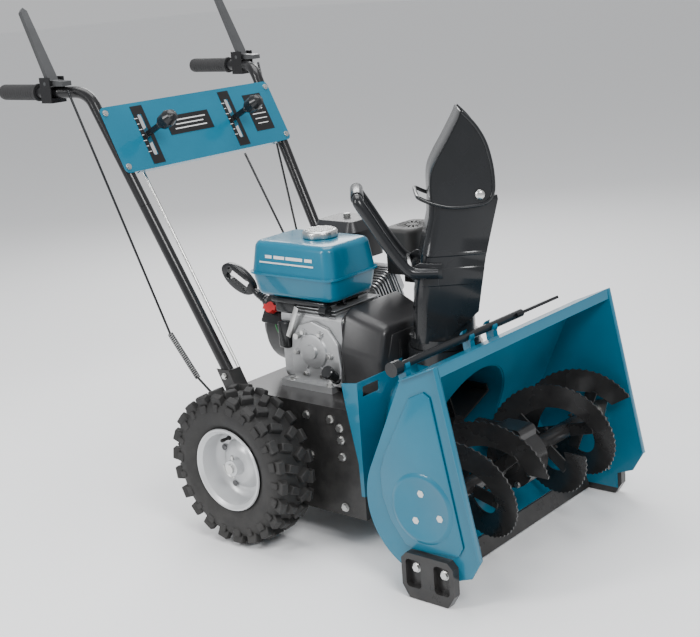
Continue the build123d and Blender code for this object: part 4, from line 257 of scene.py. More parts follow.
# %% Finish recipe
def finish(name, tone, second_tone, rough, metal=0.0, coat=0.0, coat_rough=0.1, grain_scale=900.0,
           grain_depth=0.02, scuff=0.1, scuff_tone=(0.3, 0.3, 0.3), dust_amount=0.06, specular=0.5):
    """A procedural material from the shared groups. Tones are linear colours."""
    material = bpy.data.materials.new(name)
    material.use_nodes = True
    tree = material.node_tree
    shader = tree.nodes["Principled BSDF"]
    place = tree.nodes.new("ShaderNodeTexCoord").outputs["Object"]

    def effect(group, value):
        node = tree.nodes.new("ShaderNodeGroup")
        node.node_tree = group
        node.inputs[0].default_value = value
        tree.links.new(place, node.inputs["Place"])
        return node.outputs[0]

    def blended(mask, first, second):
        node = tree.nodes.new("ShaderNodeMix")
        node.data_type = "RGBA"
        tree.links.new(mask, node.inputs["Factor"])
        # Sockets 6 and 7 are the two colours of the Mix node, and output 2 is the mixed colour.
        for index, colour in ((6, first), (7, second)):
            if isinstance(colour, tuple):
                node.inputs[index].default_value = (*colour, 1)
            else:
                tree.links.new(colour, node.inputs[index])
        return node.outputs[2]

    shade = effect(mottle, 7.0)
    worn = maths(tree, "MULTIPLY", effect(scuffs, 40.0), scuff)
    dusty = maths(tree, "MULTIPLY", effect(dust, 0.6), dust_amount)
    colour = blended(shade, tone, second_tone)
    colour = blended(worn, colour, scuff_tone)
    colour = blended(dusty, colour, (0.42, 0.40, 0.37))
    tree.links.new(colour, shader.inputs["Base Color"])
    roughness = maths(tree, "ADD", maths(tree, "MULTIPLY", shade, 0.07), rough - 0.03)
    roughness = maths(tree, "ADD", roughness, maths(tree, "MULTIPLY", dusty, 0.5))
    tree.links.new(maths(tree, "ADD", roughness, maths(tree, "MULTIPLY", worn, 0.3)),
                   shader.inputs["Roughness"])
    shader.inputs["Metallic"].default_value = metal
    shader.inputs["Coat Weight"].default_value = coat
    shader.inputs["Coat Roughness"].default_value = coat_rough
    shader.inputs["Specular IOR Level"].default_value = specular
    bump = tree.nodes.new("ShaderNodeBump")
    bump.inputs["Strength"].default_value = 1.0
    bump.inputs["Distance"].default_value = grain_depth / 1000.0
    tree.links.new(effect(grain, grain_scale), bump.inputs["Height"])
    tree.links.new(bump.outputs["Normal"], shader.inputs["Normal"])
    return material


# %% The finishes
blue = finish("petrol_blue_paint", (0.002, 0.120, 0.200), (0.003, 0.142, 0.232), 0.30, coat=0.35,
              coat_rough=0.05, grain_scale=420, grain_depth=0.035, scuff=0.05, dust_amount=0.03, specular=0.3)
black_paint = finish("black_paint", (0.008, 0.008, 0.009), (0.012, 0.012, 0.013), 0.26, coat=0.2,
                     coat_rough=0.08, specular=0.3, grain_scale=700, grain_depth=0.04, scuff=0.18,
                     scuff_tone=(0.10, 0.10, 0.10))
black_satin = finish("black_satin_sheet", (0.007, 0.007, 0.008), (0.011, 0.011, 0.012), 0.30, coat=0.15,
                     specular=0.3, grain_scale=800, grain_depth=0.03, scuff=0.15, dust_amount=0.10)
black_plastic = finish("black_moulding", (0.008, 0.009, 0.010), (0.012, 0.013, 0.015), 0.24, coat=0.2,
                       specular=0.3, grain_scale=1500, grain_depth=0.05, scuff=0.10,
                       scuff_tone=(0.07, 0.07, 0.075))
grey_plastic = finish("dark_grey_moulding", (0.013, 0.013, 0.014), (0.019, 0.019, 0.021), 0.34,
                      grain_scale=1300, grain_depth=0.09, scuff=0.10)
rubber = finish("tread_rubber", (0.0075, 0.0075, 0.008), (0.013, 0.013, 0.0135), 0.62, grain_scale=650,
                grain_depth=0.12, scuff=0.35, scuff_tone=(0.05, 0.049, 0.047), dust_amount=0.07,
                specular=0.35)
foam = finish("grip_rubber", (0.012, 0.012, 0.013), (0.018, 0.018, 0.019), 0.66, grain_scale=1100,
              grain_depth=0.15)
silver_paint = finish("silver_wheel_paint", (0.52, 0.53, 0.54), (0.60, 0.61, 0.62), 0.34, metal=0.35,
                      coat=0.3, grain_scale=600, grain_depth=0.03, scuff=0.08, dust_amount=0.10)
cast_alloy = finish("cast_alloy", (0.38, 0.385, 0.39), (0.52, 0.525, 0.53), 0.42, metal=0.85, grain_scale=520,
                    grain_depth=0.22, scuff=0.1, dust_amount=0.05)
zinc = finish("zinc_plate", (0.55, 0.55, 0.53), (0.68, 0.68, 0.67), 0.28, metal=1.0, grain_scale=900,
              grain_depth=0.02, scuff=0.1)
iron = finish("machined_iron", (0.12, 0.12, 0.125), (0.18, 0.18, 0.185), 0.45, metal=0.9, grain_scale=500,
              grain_depth=0.12)
bronze = finish("sintered_bronze", (0.42, 0.28, 0.12), (0.50, 0.34, 0.16), 0.4, metal=1.0, grain_scale=900)
heat_black = finish("heat_black", (0.018, 0.018, 0.018), (0.03, 0.029, 0.028), 0.55, grain_scale=700,
                    grain_depth=0.1)
belt_rubber = finish("belt_rubber", (0.011, 0.011, 0.011), (0.016, 0.016, 0.016), 0.7, grain_scale=900)
red_plastic = finish("red_moulding", (0.42, 0.010, 0.012), (0.50, 0.016, 0.018), 0.3, coat=0.3,
                     dust_amount=0.02)
white_ink = finish("white_print", (0.62, 0.63, 0.63), (0.70, 0.70, 0.70), 0.45, dust_amount=0.03)
black_film = finish("black_film", (0.008, 0.008, 0.009), (0.011, 0.011, 0.012), 0.3, coat=0.1, specular=0.3,
                    grain_depth=0.01)
wire_white = finish("white_wire", (0.55, 0.55, 0.52), (0.62, 0.62, 0.60), 0.4)
wire_green = finish("green_wire", (0.03, 0.22, 0.06), (0.04, 0.27, 0.08), 0.4)
lever_steel = finish("dark_steel", (0.07, 0.072, 0.075), (0.11, 0.112, 0.115), 0.36, metal=0.6,
                     grain_scale=800)
spring_steel = finish("spring_steel", (0.30, 0.30, 0.30), (0.40, 0.40, 0.40), 0.3, metal=1.0)
print("finishes:", len(bpy.data.materials))

# %% [markdown]
# ## Which CAD piece gets which finish
# Most of the hardware is already the right shape. Here each CAD node that will stay visible gets its
# finish, by material slot or by name where one slot covers several looks.

# %% Finish the CAD nodes
by_node = {"black_paint": black_paint, "black_plastic": black_plastic, "petrol_blue_paint": blue,
           "zinc_steel": zinc, "cast_aluminium": cast_alloy, "cast_iron": iron, "tyre_rubber": rubber,
           "silver_rim_paint": silver_paint, "belt_rubber": belt_rubber, "red_plastic": red_plastic,
           "exhaust_black": heat_black, "bush_bronze": bronze, "cable_sheath": black_plastic}
special = {"chassis_frame": black_satin, "grips": foam, "belt_cover": grey_plastic,
           "air_cleaner": grey_plastic, "fan_housing": grey_plastic, "recoil_cover": grey_plastic,
           "muffler": heat_black, "skid_shoes": black_paint, "control_cables": black_plastic,
           "impeller": black_paint, "clutch_lever_right": lever_steel, "clutch_lever_left": lever_steel}
slots = {part["node"]: part["material_slot"] for part in frame["record"]["subparts"]}
for name, node in frame["nodes"].items():
    node.data.materials.clear()
    node.data.materials.append(special.get(name, by_node[slots[name]]))
print("finished", len(slots), "nodes")

# %% [markdown]
# ## Modelling helpers
# A turned shape is a profile spun round an axis. A slab is an outline pushed out to a thickness with its
# edges rounded. Both start from a few vertices and let Blender's operators make the rest. `put` turns the
# finished mesh into an object that rides on a body of the machine.

# %% Turned shapes, slabs and placing
def put(name, bm, material, body, replaces=(), sharp=35):
    """Close, orient and shade a mesh, then hang it on a body, or on none."""
    bmesh.ops.remove_doubles(bm, verts=bm.verts, dist=1e-6)
    bmesh.ops.recalc_face_normals(bm, faces=bm.faces)
    mesh = bpy.data.meshes.new(name)
    bm.to_mesh(mesh)
    bm.free()
    for face in mesh.polygons:
        face.use_smooth = True
    mesh.set_sharp_from_angle(angle=radians(sharp))
    mesh.materials.append(material)
    piece = bpy.data.objects.new(name, mesh)
    bpy.context.scene.collection.objects.link(piece)
    if body:
        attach(piece, body)
    if replaces:
        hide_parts(*replaces)
    print(name, len(mesh.polygons), "faces")
    return piece


def turned(bm, profile, centre, axis, steps=48):
    """Spin a profile of (along, radius) pairs, in mm, round an axis."""
    axis = Vector(axis).normalized()
    out = axis.orthogonal().normalized()
    verts = [bm.verts.new(centre + (axis * a + out * r) / 1000.0) for a, r in profile]
    edges = [bm.edges.new(pair) for pair in zip(verts, verts[1:])]
    bmesh.ops.spin(bm, geom=verts + edges, cent=centre, axis=axis, dvec=(0, 0, 0), angle=tau, steps=steps,
                   use_merge=True)


def round_edges(bm, verts, width, segments=2):
    """Bevel every edge among some vertices."""
    chosen = set(verts)
    edges = [e for e in bm.edges if e.verts[0] in chosen and e.verts[1] in chosen]
    bmesh.ops.bevel(bm, geom=edges, offset=width / 1000.0, offset_type="OFFSET", segments=segments,
                    profile=0.5, affect="EDGES", clamp_overlap=True, material=-1)


def slab(bm, outline, push, soft=0.0, segments=2):
    """Push a closed outline of points along a vector, with its edges rounded."""
    base = bm.faces.new([bm.verts.new(p) for p in outline])
    grown = bmesh.ops.extrude_face_region(bm, geom=[base])["geom"]
    lifted = [g for g in grown if isinstance(g, bmesh.types.BMVert)]
    bmesh.ops.translate(bm, verts=lifted, vec=push)
    if soft:
        round_edges(bm, list(base.verts) + lifted, soft, segments)


def block(bm, size, centre, turn=None, soft=0.0, segments=2):
    """A box of a size in mm, turned, placed and with its edges rounded."""
    made = bmesh.ops.create_cube(bm, size=0.001)["verts"]
    bmesh.ops.scale(bm, verts=made, vec=size)
    bmesh.ops.transform(bm, verts=made, matrix=Matrix.Translation(centre) @ (turn or Matrix.Identity(4)))
    if soft:
        round_edges(bm, made, soft, segments)


def wire(name, points, radius, material, body, smooth=True):
    """A thin round line through points, as a curve with a round section."""
    curve = bpy.data.curves.new(name, "CURVE")
    curve.dimensions = "3D"
    curve.bevel_depth = radius / 1000.0
    curve.bevel_resolution = 2
    curve.use_fill_caps = True
    spline = curve.splines.new("NURBS" if smooth else "POLY")
    spline.points.add(len(points) - 1)
    for knot, place in zip(spline.points, points):
        knot.co = (*place, 1)
    if smooth:
        spline.order_u = 3
        spline.use_endpoint_u = True
    curve.materials.append(material)
    line = bpy.data.objects.new(name, curve)
    bpy.context.scene.collection.objects.link(line)
    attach(line, body)
    print(name, "wire of", len(points), "points")
    return line


# %% [markdown]
# ## Tyres
# Snow tyres carry tall blocks that bite sideways as well as forwards. The carcass is a profile spun round
# the axle. One centre block and one shoulder block are bevelled cubes, copied round the tread. The left and
# right rows are half a pitch apart, and mirrored in slant, which makes the zigzag of the real tread.

# %% Tyres
LUGS = 22
for side, sign in (("right", -1), ("left", 1)):
    hub = at(sign * WHEEL_X, 0, AXLE_Z)
    bm = bmesh.new()
    carcass = [(-31, 77), (-36, 84), (-39, 90), (-45, 100), (-49, 116), (-48, 132), (-42, 143), (-32, 149),
               (-16, 151), (0, 151.5), (16, 151), (32, 149), (42, 143), (48, 132), (49, 116), (45, 100),
               (39, 90), (36, 84), (31, 77), (31, 76), (-31, 76), (-31, 77)]
    turned(bm, carcass, hub, (1, 0, 0), 72)
    for row in (-1, 1):
        for count in range(LUGS):
            spin = Matrix.Rotation(tau * (count + (0.5 if row > 0 else 0)) / LUGS, 4, "X")
            for size, top_scale, place, tilt in (((29, 19, 17), (0.90, 0.84, 1), (row * 0.0150, 0, 0.1550),
                                                  Matrix.Rotation(radians(row * 26), 4, "Z")),
                                                 ((17, 29, 22), (0.84, 0.86, 1),
                                                  (row * 0.0395, -row * 0.012, 0.1480),
                                                  Matrix.Rotation(radians(row * 20), 4, "Y")),
                                                 ((5, 20 if count % 2 else 13, 17), (1, 1, 1),
                                                  (row * 0.0478, -row * 0.013, 0.1330), Matrix())):
                lug = bmesh.ops.create_cube(bm, size=0.001)["verts"]
                bmesh.ops.scale(bm, verts=lug, vec=size)
                bmesh.ops.scale(bm, verts=[v for v in lug if v.co.z > 0], vec=top_scale)
                bmesh.ops.transform(bm, verts=lug, matrix=Matrix.Translation(hub) @ spin
                                    @ Matrix.Translation(place) @ tilt)
    cubes = [v for v in bm.verts if len(v.link_edges) == 3]
    round_edges(bm, cubes, 1.6, 1)
    put(f"tread_{side}", bm, rubber, "wheels", replaces=(f"tyre_{side}",), sharp=40)

# %% [markdown]
# ## Wheel rims
# Small steel wheels are two pressed shells: a bead seat with rolled flanges and a dished disc with a hub
# tube. The dish is a profile spun once more. A ring of dimples and the rubber valve make it read as a wheel.

# %% Rims
for side, sign in (("right", -1), ("left", 1)):
    hub = at(sign * WHEEL_X, 0, AXLE_Z)
    bm = bmesh.new()
    shell = [(43, 88.5), (46, 87), (46, 84), (43, 81), (40, 77), (30, 75), (8, 73.5), (3, 70), (-2, 62),
             (-3, 54), (1, 47), (8, 40), (12, 34), (13, 27), (15, 20), (20, 17.4), (34, 17), (35, 16),
             (35, 9.7), (31, 9.7), (8, 9.7), (8, 30), (-6, 48), (-8, 62), (-3, 72), (-43, 74), (-46, 84),
             (-46, 87), (-43, 88.5), (-41, 86), (-38, 77.5), (38, 78.5), (41, 86), (43, 88.5)]
    turned(bm, [(a * sign, r) for a, r in shell], hub, (1, 0, 0), 64)
    put(f"rim_{side}", bm, silver_paint, "wheels", replaces=(f"wheel_rim_{side}",))
    bm = bmesh.new()
    for count in range(4):
        spin = Matrix.Rotation(tau * count / 4 + 0.5, 4, "X")
        place = hub + spin @ Vector((sign * 0.0008, 0, 0.0555))
        turned(bm, [(0, 0.01), (0, 6.4), (1.1, 6.4), (1.6, 5.0), (1.7, 0.01)], place, (sign, 0, 0), 20)
    put(f"rim_dimples_{side}", bm, iron, "wheels")
    bm = bmesh.new()
    valve = at(sign * (WHEEL_X - 1), 34, AXLE_Z + 50)
    turned(bm, [(-4, 0.01), (-4, 5.5), (0, 5.5), (3, 3.6), (12, 3.2), (13, 4.0), (21, 4.0), (22.5, 3.2),
                (22.5, 0.01)], valve, (sign, 0, 0), 20)
    put(f"valve_{side}", bm, rubber, "wheels")

# %% [markdown]
# ## Auger housing: pressed side plates
# Each side plate is pressed sheet. A large raised field follows the outline, a round boss stands out round
# the bearing, and the front edge is turned outwards. The CAD plate stays underneath. The pressing is a thin
# slab laid on it, inset and rounded, which catches light as the real step does.

# %% Side plate pressings
for side, sign in (("right", -1), ("left", 1)):
    face_x = sign * 302.2
    bm = bmesh.new()
    field = [(-467, 388), (-500, 404), (-515, 396), (-571, 120), (-560, 100), (-470, 92), (-440, 98),
             (-408, 140), (-392, 186), (-390, 232), (-402, 268)]
    slab(bm, [at(face_x, y, z) for y, z in field], Vector((sign * 0.0042, 0, 0)), 2.0, 3)
    put(f"plate_field_{side}", bm, blue, "machine")
    bm = bmesh.new()
    turned(bm, [(0, 0.01), (0, 70), (2.2, 69), (4.6, 64), (5.0, 62), (5.0, 60), (3.0, 56), (3.0, 0.01)],
           at(sign * 304.5, -484, 178),
           (sign, 0, 0), 72)
    put(f"plate_boss_{side}", bm, blue, "machine")
    bm = bmesh.new()
    edge = [(-609, 103), (-533, 456), (-530.5, 455), (-606.5, 102)]
    slab(bm, [at(sign * 299.5, y, z) for y, z in edge], Vector((sign * 0.013, 0, 0)), 1.0, 2)
    edge = [(-533, 456), (-449, 420), (-450, 417.6), (-534, 453.6)]
    slab(bm, [at(sign * 299.5, y, z) for y, z in edge], Vector((sign * 0.010, 0, 0)), 1.0, 2)
    put(f"plate_flange_{side}", bm, blue, "machine")

# %% [markdown]
# ## Fuel tank
# A tank is two deep-drawn shells crimped together at a lip. Each half starts as a block that is tapered by
# scaling one end and heavily bevelled. The print on its side is generic: plain bars, no words.

# %% Tank
bm = bmesh.new()
for low, high, shrink in ((531, 598, 0.90), (531, 480, 0.90)):
    half = bmesh.ops.create_cube(bm, size=0.001)["verts"]
    bmesh.ops.scale(bm, verts=half, vec=(158, 231, abs(high - low)))
    bmesh.ops.translate(bm, verts=half, vec=at(-48, -31.5, (low + high) / 2))
    far = [v for v in half if abs(v.co.z * 1000 - high) < 1]
    middle = at(-48, -31.5, high)
    bmesh.ops.translate(bm, verts=far, vec=-middle)
    bmesh.ops.scale(bm, verts=far, vec=(shrink, shrink + 0.03, 1))
    bmesh.ops.translate(bm, verts=far, vec=middle)
    corners = [e for e in bm.edges if e.verts[0] in half and e.verts[1] in half
               and abs(e.verts[0].co.z - e.verts[1].co.z) > 0.01]
    bmesh.ops.bevel(bm, geom=corners, offset=0.024, offset_type="OFFSET", segments=6, profile=0.5,
                    affect="EDGES", clamp_overlap=True, material=-1)
    rim = [e for e in bm.edges if all(abs(v.co.z * 1000 - high) < 1 for v in e.verts)]
    bmesh.ops.bevel(bm, geom=rim, offset=0.013, offset_type="OFFSET", segments=5, profile=0.5, affect="EDGES",
                    clamp_overlap=True, material=-1)
lip = bmesh.ops.create_cube(bm, size=0.001)["verts"]
bmesh.ops.scale(bm, verts=lip, vec=(168, 241, 4))
bmesh.ops.translate(bm, verts=lip, vec=at(-48, -31.5, 531))
posts = [e for e in bm.edges if e.verts[0] in lip and e.verts[1] in lip
         and abs(e.verts[0].co.z - e.verts[1].co.z) > 0.002]
bmesh.ops.bevel(bm, geom=posts, offset=0.028, offset_type="OFFSET", segments=6, profile=0.5, affect="EDGES",
                clamp_overlap=True, material=-1)
turned(bm, [(-4, 0.01), (-4, 30), (1.5, 29), (2.5, 27), (2.5, 0.01)], at(-34, -45.5, 598), (0, 0, 1), 48)
put("tank_skin", bm, blue, "machine", replaces=("fuel_tank",), sharp=50)

bm = bmesh.new()
side_lean = Matrix.Rotation(radians(6.7), 4, "Y")
block(bm, (0.5, 150, 3.2), at(-125.0, -25, 556), side_lean)
for start, length in ((-96, 20), (-70, 46), (-20, 30), (16, 18)):
    block(bm, (0.5, length, 6.5), at(-123.4, start + length / 2, 568), side_lean)
put("tank_print", bm, white_ink, "machine")

# %% [markdown]
# ## Fuel cap
# The cap is a plated cup with a gripping edge and a cross-hatched top. Forty small ridges round the rim are
# one small block, copied. The hatch on top is a low grid of square pads.

# %% Cap
cap_place = at(-34, -45.5, 599)
bm = bmesh.new()
turned(bm, [(0, 0.01), (0, 36.5), (2, 37.5), (11, 37.5), (14, 35.5), (15.5, 32), (15.5, 0.01)], cap_place,
       (0, 0, 1), 64)
for count in range(40):
    spin = Matrix.Rotation(tau * count / 40, 4, "Z")
    block(bm, (1.6, 2.6, 9), cap_place + spin @ Vector((0.0368, 0, 0.0065)), spin)
for row in range(-4, 5):
    for column in range(-4, 5):
        if row * row + column * column <= 18:
            block(bm, (4.6, 4.6, 1.6), cap_place + Vector((row * 0.0066, column * 0.0066, 0.0162)))
put("cap_skin", bm, zinc, "fuel_cap", replaces=("fuel_cap",))

# %% [markdown]
# ## Belt cover
# A moulded cover with sloping shoulders, a raised field on its face and three ribs. Its outline is pushed
# out and its front is scaled in, so every wall drafts like a real moulding.

# %% Belt cover
bm = bmesh.new()
outline = [(-112, 289), (-116, 388), (-97, 455), (-78, 468), (82, 468), (105, 432), (112, 289)]
base = bm.faces.new([bm.verts.new(at(x, -146.5, z)) for x, z in outline])
grown = bmesh.ops.extrude_face_region(bm, geom=[base])["geom"]
front = [g for g in grown if isinstance(g, bmesh.types.BMVert)]
bmesh.ops.translate(bm, verts=front, vec=Vector((0, -0.096, 0)))
pivot = at(0, -242, 289)
bmesh.ops.translate(bm, verts=front, vec=-pivot)
bmesh.ops.scale(bm, verts=front, vec=(0.86, 1, 0.80))
bmesh.ops.translate(bm, verts=front, vec=pivot)
round_edges(bm, list(base.verts) + front, 9, 4)
field = [(-74, 300), (-78, 372), (-62, 416), (60, 416), (76, 392), (74, 300)]
slab(bm, [at(x, -241, z) for x, z in field], Vector((0, -0.0035, 0)), 2.5, 2)
put("cover_skin", bm, grey_plastic, "machine", replaces=("belt_cover",), sharp=45)
bm = bmesh.new()
for x in (-40, 0, 40):
    block(bm, (6, 3, 84), at(x, -244, 358), soft=1.0)
put("cover_ribs", bm, grey_plastic, "machine")
print("belt cover done")

# %% [markdown]
# ## Chute
# The chute is moulded: a rounded U channel that leans forward as it rises, with two raised bands and a fine
# seam. It is skinned ring by ring from the round foot to the mouth, then given its wall by a Solidify
# modifier. Places are given as (forward, across, up) in the chute's own heading.

# %% Chute skin
HEADING = radians(40)


def aimed(u, v, z):
    """A place in the chute's heading: forward of its turning axis, across, and height, in mm."""
    return at(u * sin(HEADING) + v * cos(HEADING), -331 - u * cos(HEADING) + v * sin(HEADING), z)


def along(points, value):
    """Straight-line reading of (key, value) pairs at a key."""
    for (a, first), (b, second) in zip(points, points[1:]):
        if value <= b:
            return first + (second - first) * max(0.0, (value - a) / (b - a))
    return points[-1][1]


rear_line = [(411, -62), (504, -56), (581, -42), (663, -21), (700, -19)]
front_line = [(411, -6), (470, 65), (576, 83), (693, 113), (715, 106)]
bm = bmesh.new()
rows = []
for z in (411, 430, 450, 470, 500, 526, 528, 545, 560, 562, 584, 586, 590, 592, 620, 660, 690, 699):
    rear, front = along(rear_line, z), along(front_line, z)
    wide = 62 + (1.4 if 527 < z < 561 or 585 < z < 591 else 0)
    ring = [(front, -wide), (front * 0.55 + rear * 0.45, -wide), (rear + 24, -wide)]
    for step in range(1, 6):
        a = pi / 2 * step / 6
        ring.append((rear + 24 - 24 * sin(a), -wide + 24 - 24 * cos(a)))
    ring.append((rear, -wide + 24))
    ring += [(u, -v) for u, v in reversed(ring)]
    rows.append([bm.verts.new(aimed(u, v, z)) for u, v in ring])
for low, high in zip(rows, rows[1:]):
    for k in range(len(low) - 1):
        bm.faces.new((low[k], low[k + 1], high[k + 1], high[k]))
chute_skin = put("chute_skin", bm, black_plastic, "chute", replaces=("chute",),
                 sharp=28)
wall = chute_skin.modifiers.new("wall", "SOLIDIFY")
wall.thickness = 0.0035
wall.offset = -1
lip = chute_skin.modifiers.new("edge", "BEVEL")
lip.width = 0.0012
lip.segments = 2
lip.limit_method = "ANGLE"
lip.angle_limit = radians(60)
bm = bmesh.new()
turned(bm, [(398, 59.5), (414, 59.5), (416, 61), (416, 72), (402, 72), (396, 72), (396, 66), (398, 59.5)],
       aimed(0, 0, 0), (0, 0, 1), 64)
turned(bm, [(412, 59), (472, 59), (472, 62), (416, 62.2), (412, 62.2), (412, 59)], aimed(0, 0, 0),
       (0, 0, 1), 64)
put("chute_foot", bm, black_plastic, "chute")
bm = bmesh.new()
for sign in (-1, 1):
    turned(bm, [(60, 0.01), (60, 4), (68, 4), (68.5, 9.5), (72, 9.5), (75, 7), (76, 4), (76, 0.01)],
           aimed(77, 0, 703), Vector((cos(HEADING), sin(HEADING), 0)) * sign, 24)
put("chute_pivots", bm, zinc, "chute")

# %% [markdown]
# ## Hood
# The hood that bends the snow's path is bent sheet: two cheeks and a curved back with a rolled lip that
# stiffens the open edge. The cheeks are one outline, the back is a strip carried between them.

# %% Hood skin
back_line = [(-15, 691), (-15, 726), (-11, 751), (1, 776), (16, 800), (32, 827), (45, 850), (50, 863)]
front_edge = [(50, 863), (72, 837), (90, 805), (100, 768), (104, 732), (102, 702), (88, 686), (60, 681),
              (23, 680), (-6, 688), (-15, 691)]


def flowing(points, steps=5):
    """Points along a smooth line through the given ones (Catmull-Rom)."""
    knots = [points[0]] + list(points) + [points[-1]]
    result = []
    for a, b, c, d in zip(knots, knots[1:], knots[2:], knots[3:]):
        for k in range(steps):
            t = k / steps
            result.append(tuple(0.5 * (2 * q + (r - p) * t + (2 * p - 5 * q + 4 * r - s) * t * t
                                       + (3 * q - p - 3 * r + s) * t ** 3) for p, q, r, s in zip(a, b, c, d)))
    return result + [points[-1]]


back_line = flowing(back_line)
front_edge = flowing(front_edge)
for sign, label in ((-1, "right"), (1, "left")):
    bm = bmesh.new()
    cheek = back_line + front_edge[1:-1]
    slab(bm, [aimed(u, sign * 63.4, z) for u, z in cheek],
         Vector((cos(HEADING), sin(HEADING), 0)) * sign * 0.0032)
    put(f"hood_cheek_{label}", bm, black_plastic, "deflector", replaces=("deflector",))
bm = bmesh.new()
chain = [bm.verts.new(aimed(u, -66.4, z)) for u, z in back_line]
edges = [bm.edges.new(pair) for pair in zip(chain, chain[1:])]
grown = bmesh.ops.extrude_edge_only(bm, edges=edges)["geom"]
bmesh.ops.translate(bm, verts=[g for g in grown if isinstance(g, bmesh.types.BMVert)],
                    vec=Vector((cos(HEADING), sin(HEADING), 0)) * 0.1328)
hood_back = put("hood_back", bm, black_plastic, "deflector")
wall = hood_back.modifiers.new("wall", "SOLIDIFY")
wall.thickness = 0.003
wall.offset = -1
round_fold = hood_back.modifiers.new("soft", "BEVEL")
round_fold.width = 0.001
round_fold.segments = 2
round_fold.limit_method = "ANGLE"
lip_run = flowing([(50, 861), (72, 837), (90, 805), (100, 768), (104, 732), (102, 702), (88, 686),
                   (60, 681), (23, 681), (-6, 688), (-26, 696), (-39, 703)], 4)
wire("hood_lip", [aimed(u, 65.6, z) for u, z in lip_run] + [aimed(-43, 58, 705), aimed(-43, -58, 705)]
     + [aimed(u, -65.6, z) for u, z in reversed(lip_run)], 4.0, black_plastic, "deflector")

# %% [markdown]
# ## Chute handle
# A thick D that the operator grips to swing the chute. On the machine it is one bent round bar, so here it
# is one curve with a round section. A turned sleeve covers the crossbar, and a plate each side holds it.

# %% Handle skin
across = Vector((cos(HEADING), sin(HEADING), 0))
loop = bpy.data.curves.new("handle_loop", "CURVE")
loop.dimensions = "3D"
loop.bevel_depth = 0.0108
loop.bevel_resolution = 5
loop.use_fill_caps = True
side_run = [(-12, 73.6, 556), (-48, 73.6, 557), (-66, 73.6, 560), (-82, 73.6, 578), (-110, 73.6, 622),
            (-142, 73.6, 679), (-156, 73.0, 702), (-158, 67, 709), (-158, 52, 710), (-158, 20, 710)]
path = side_run + [(u, -v, z) for u, v, z in reversed(side_run)]
spline = loop.splines.new("NURBS")
spline.points.add(len(path) - 1)
for knot, place in zip(spline.points, path):
    knot.co = (*aimed(*place), 1)
spline.order_u = 3
spline.use_endpoint_u = True
loop.materials.append(black_plastic)
handle_loop = bpy.data.objects.new("handle_loop", loop)
bpy.context.scene.collection.objects.link(handle_loop)
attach(handle_loop, "chute")
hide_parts("chute_handle")
bm = bmesh.new()
turned(bm, [(-58, 10), (-58, 12.2), (-55, 13), (55, 13), (58, 12.2), (58, 10)], aimed(-158, 0, 710), across,
       32)
block(bm, (10, 134, 22), aimed(-64, 0, 559), Matrix.Rotation(HEADING - pi / 2, 4, "Z"), 2.5, 2)
for sign in (-1, 1):
    slab(bm, [aimed(u, sign * 62.6, z) for u, z in ((-2, 542), (-2, 572), (-46, 576), (-70, 562),
                                                    (-62, 544))], across * sign * 0.004, 1.2, 2)
put("handle_mount", bm, black_plastic, "chute", sharp=45)

# %% [markdown]
# ## Augers
# Each auger is two ribbons of steel wound on a shaft, wound the other way on the far side so both push the
# snow inwards. A short strip spun round the shaft with a sideways step every turn makes the ribbon, and
# notches every few degrees give the saw edge that bites ice.

# %% Auger ribbons
AUGER = at(0, -492, 176)
RIBBON_STEPS, RIBBON_INNER, RIBBON_OUTER = 96, 66.5, 116.5
RIBBON_START, RIBBON_RUN, RIBBON_TURN = 68.0, 212.0, 330.0
for side, sign in (("right", -1), ("left", 1)):
    bm = bmesh.new()
    steps, inner, outer = RIBBON_STEPS, RIBBON_INNER, RIBBON_OUTER
    for start in (0, 180):
        out = Vector((0, cos(radians(start)), sin(radians(start))))
        strip = [bm.verts.new(AUGER + (Vector((sign * RIBBON_START + dx, 0, 0)) + out * r) / 1000)
                 for dx, r in ((-1.8, inner), (-1.8, outer), (1.8, outer), (1.8, inner))]
        edges = [bm.edges.new(pair) for pair in zip(strip, strip[1:] + strip[:1])]
        bmesh.ops.spin(bm, geom=strip + edges, cent=AUGER, axis=(1, 0, 0),
                       dvec=(sign * RIBBON_RUN / 1000 / steps, 0, 0), angle=radians(sign * RIBBON_TURN),
                       steps=steps)
        for share in (0.12, 0.5, 0.88):
            a = radians(start + sign * RIBBON_TURN * share)
            block(bm, (4, 56, 26), AUGER + Vector((sign * (RIBBON_START + RIBBON_RUN * share), 0, 0)) / 1000
                  + Vector((0, cos(a), sin(a))) * 0.0445, Matrix.Rotation(a, 4, "X"), 0.8, 1)
    for vert in bm.verts:
        reach = Vector((0, vert.co.y - AUGER.y, vert.co.z - AUGER.z))
        step = round((abs(vert.co.x) * 1000 - RIBBON_START) / RIBBON_RUN * steps)
        if reach.length * 1000 > outer - 1 and step % 2:
            vert.co -= reach.normalized() * 0.003
    bmesh.ops.holes_fill(bm, edges=[e for e in bm.edges if e.is_boundary], sides=4)
    turned(bm, [(sign * 64, 12.7), (sign * 64, 17), (sign * 284, 17), (sign * 284, 12.7)], AUGER, (1, 0, 0),
           32)
    for share in (0.28, 0.72):
        turned(bm, [(-24, 0.01), (-24, 5), (-19, 5), (-19, 3), (19, 3), (19, 5), (23, 5), (23, 0.01)],
               AUGER + Vector((sign * (64 + 220 * share), 0, 0)) / 1000, (0, 0.5, 0.86), 6)
    put(f"ribbon_{side}", bm, black_paint, "augers", replaces=(f"auger_{side}",),
        sharp=30)

# %% [markdown]
# ## Control panel
# Painted sheet with two slot plates, printed tick marks and a blank name plate. The print is only bars and
# ticks. Everything lies in the panel's tilted plane, so one helper places all of it.

# %% Panel dressing
PANEL_UP = Vector((0, 0.448, 0.894))
PANEL_OUT = Vector((0, -0.894, 0.448))
panel_turn = Matrix((Vector((1, 0, 0)), PANEL_UP, PANEL_OUT)).transposed().to_4x4()


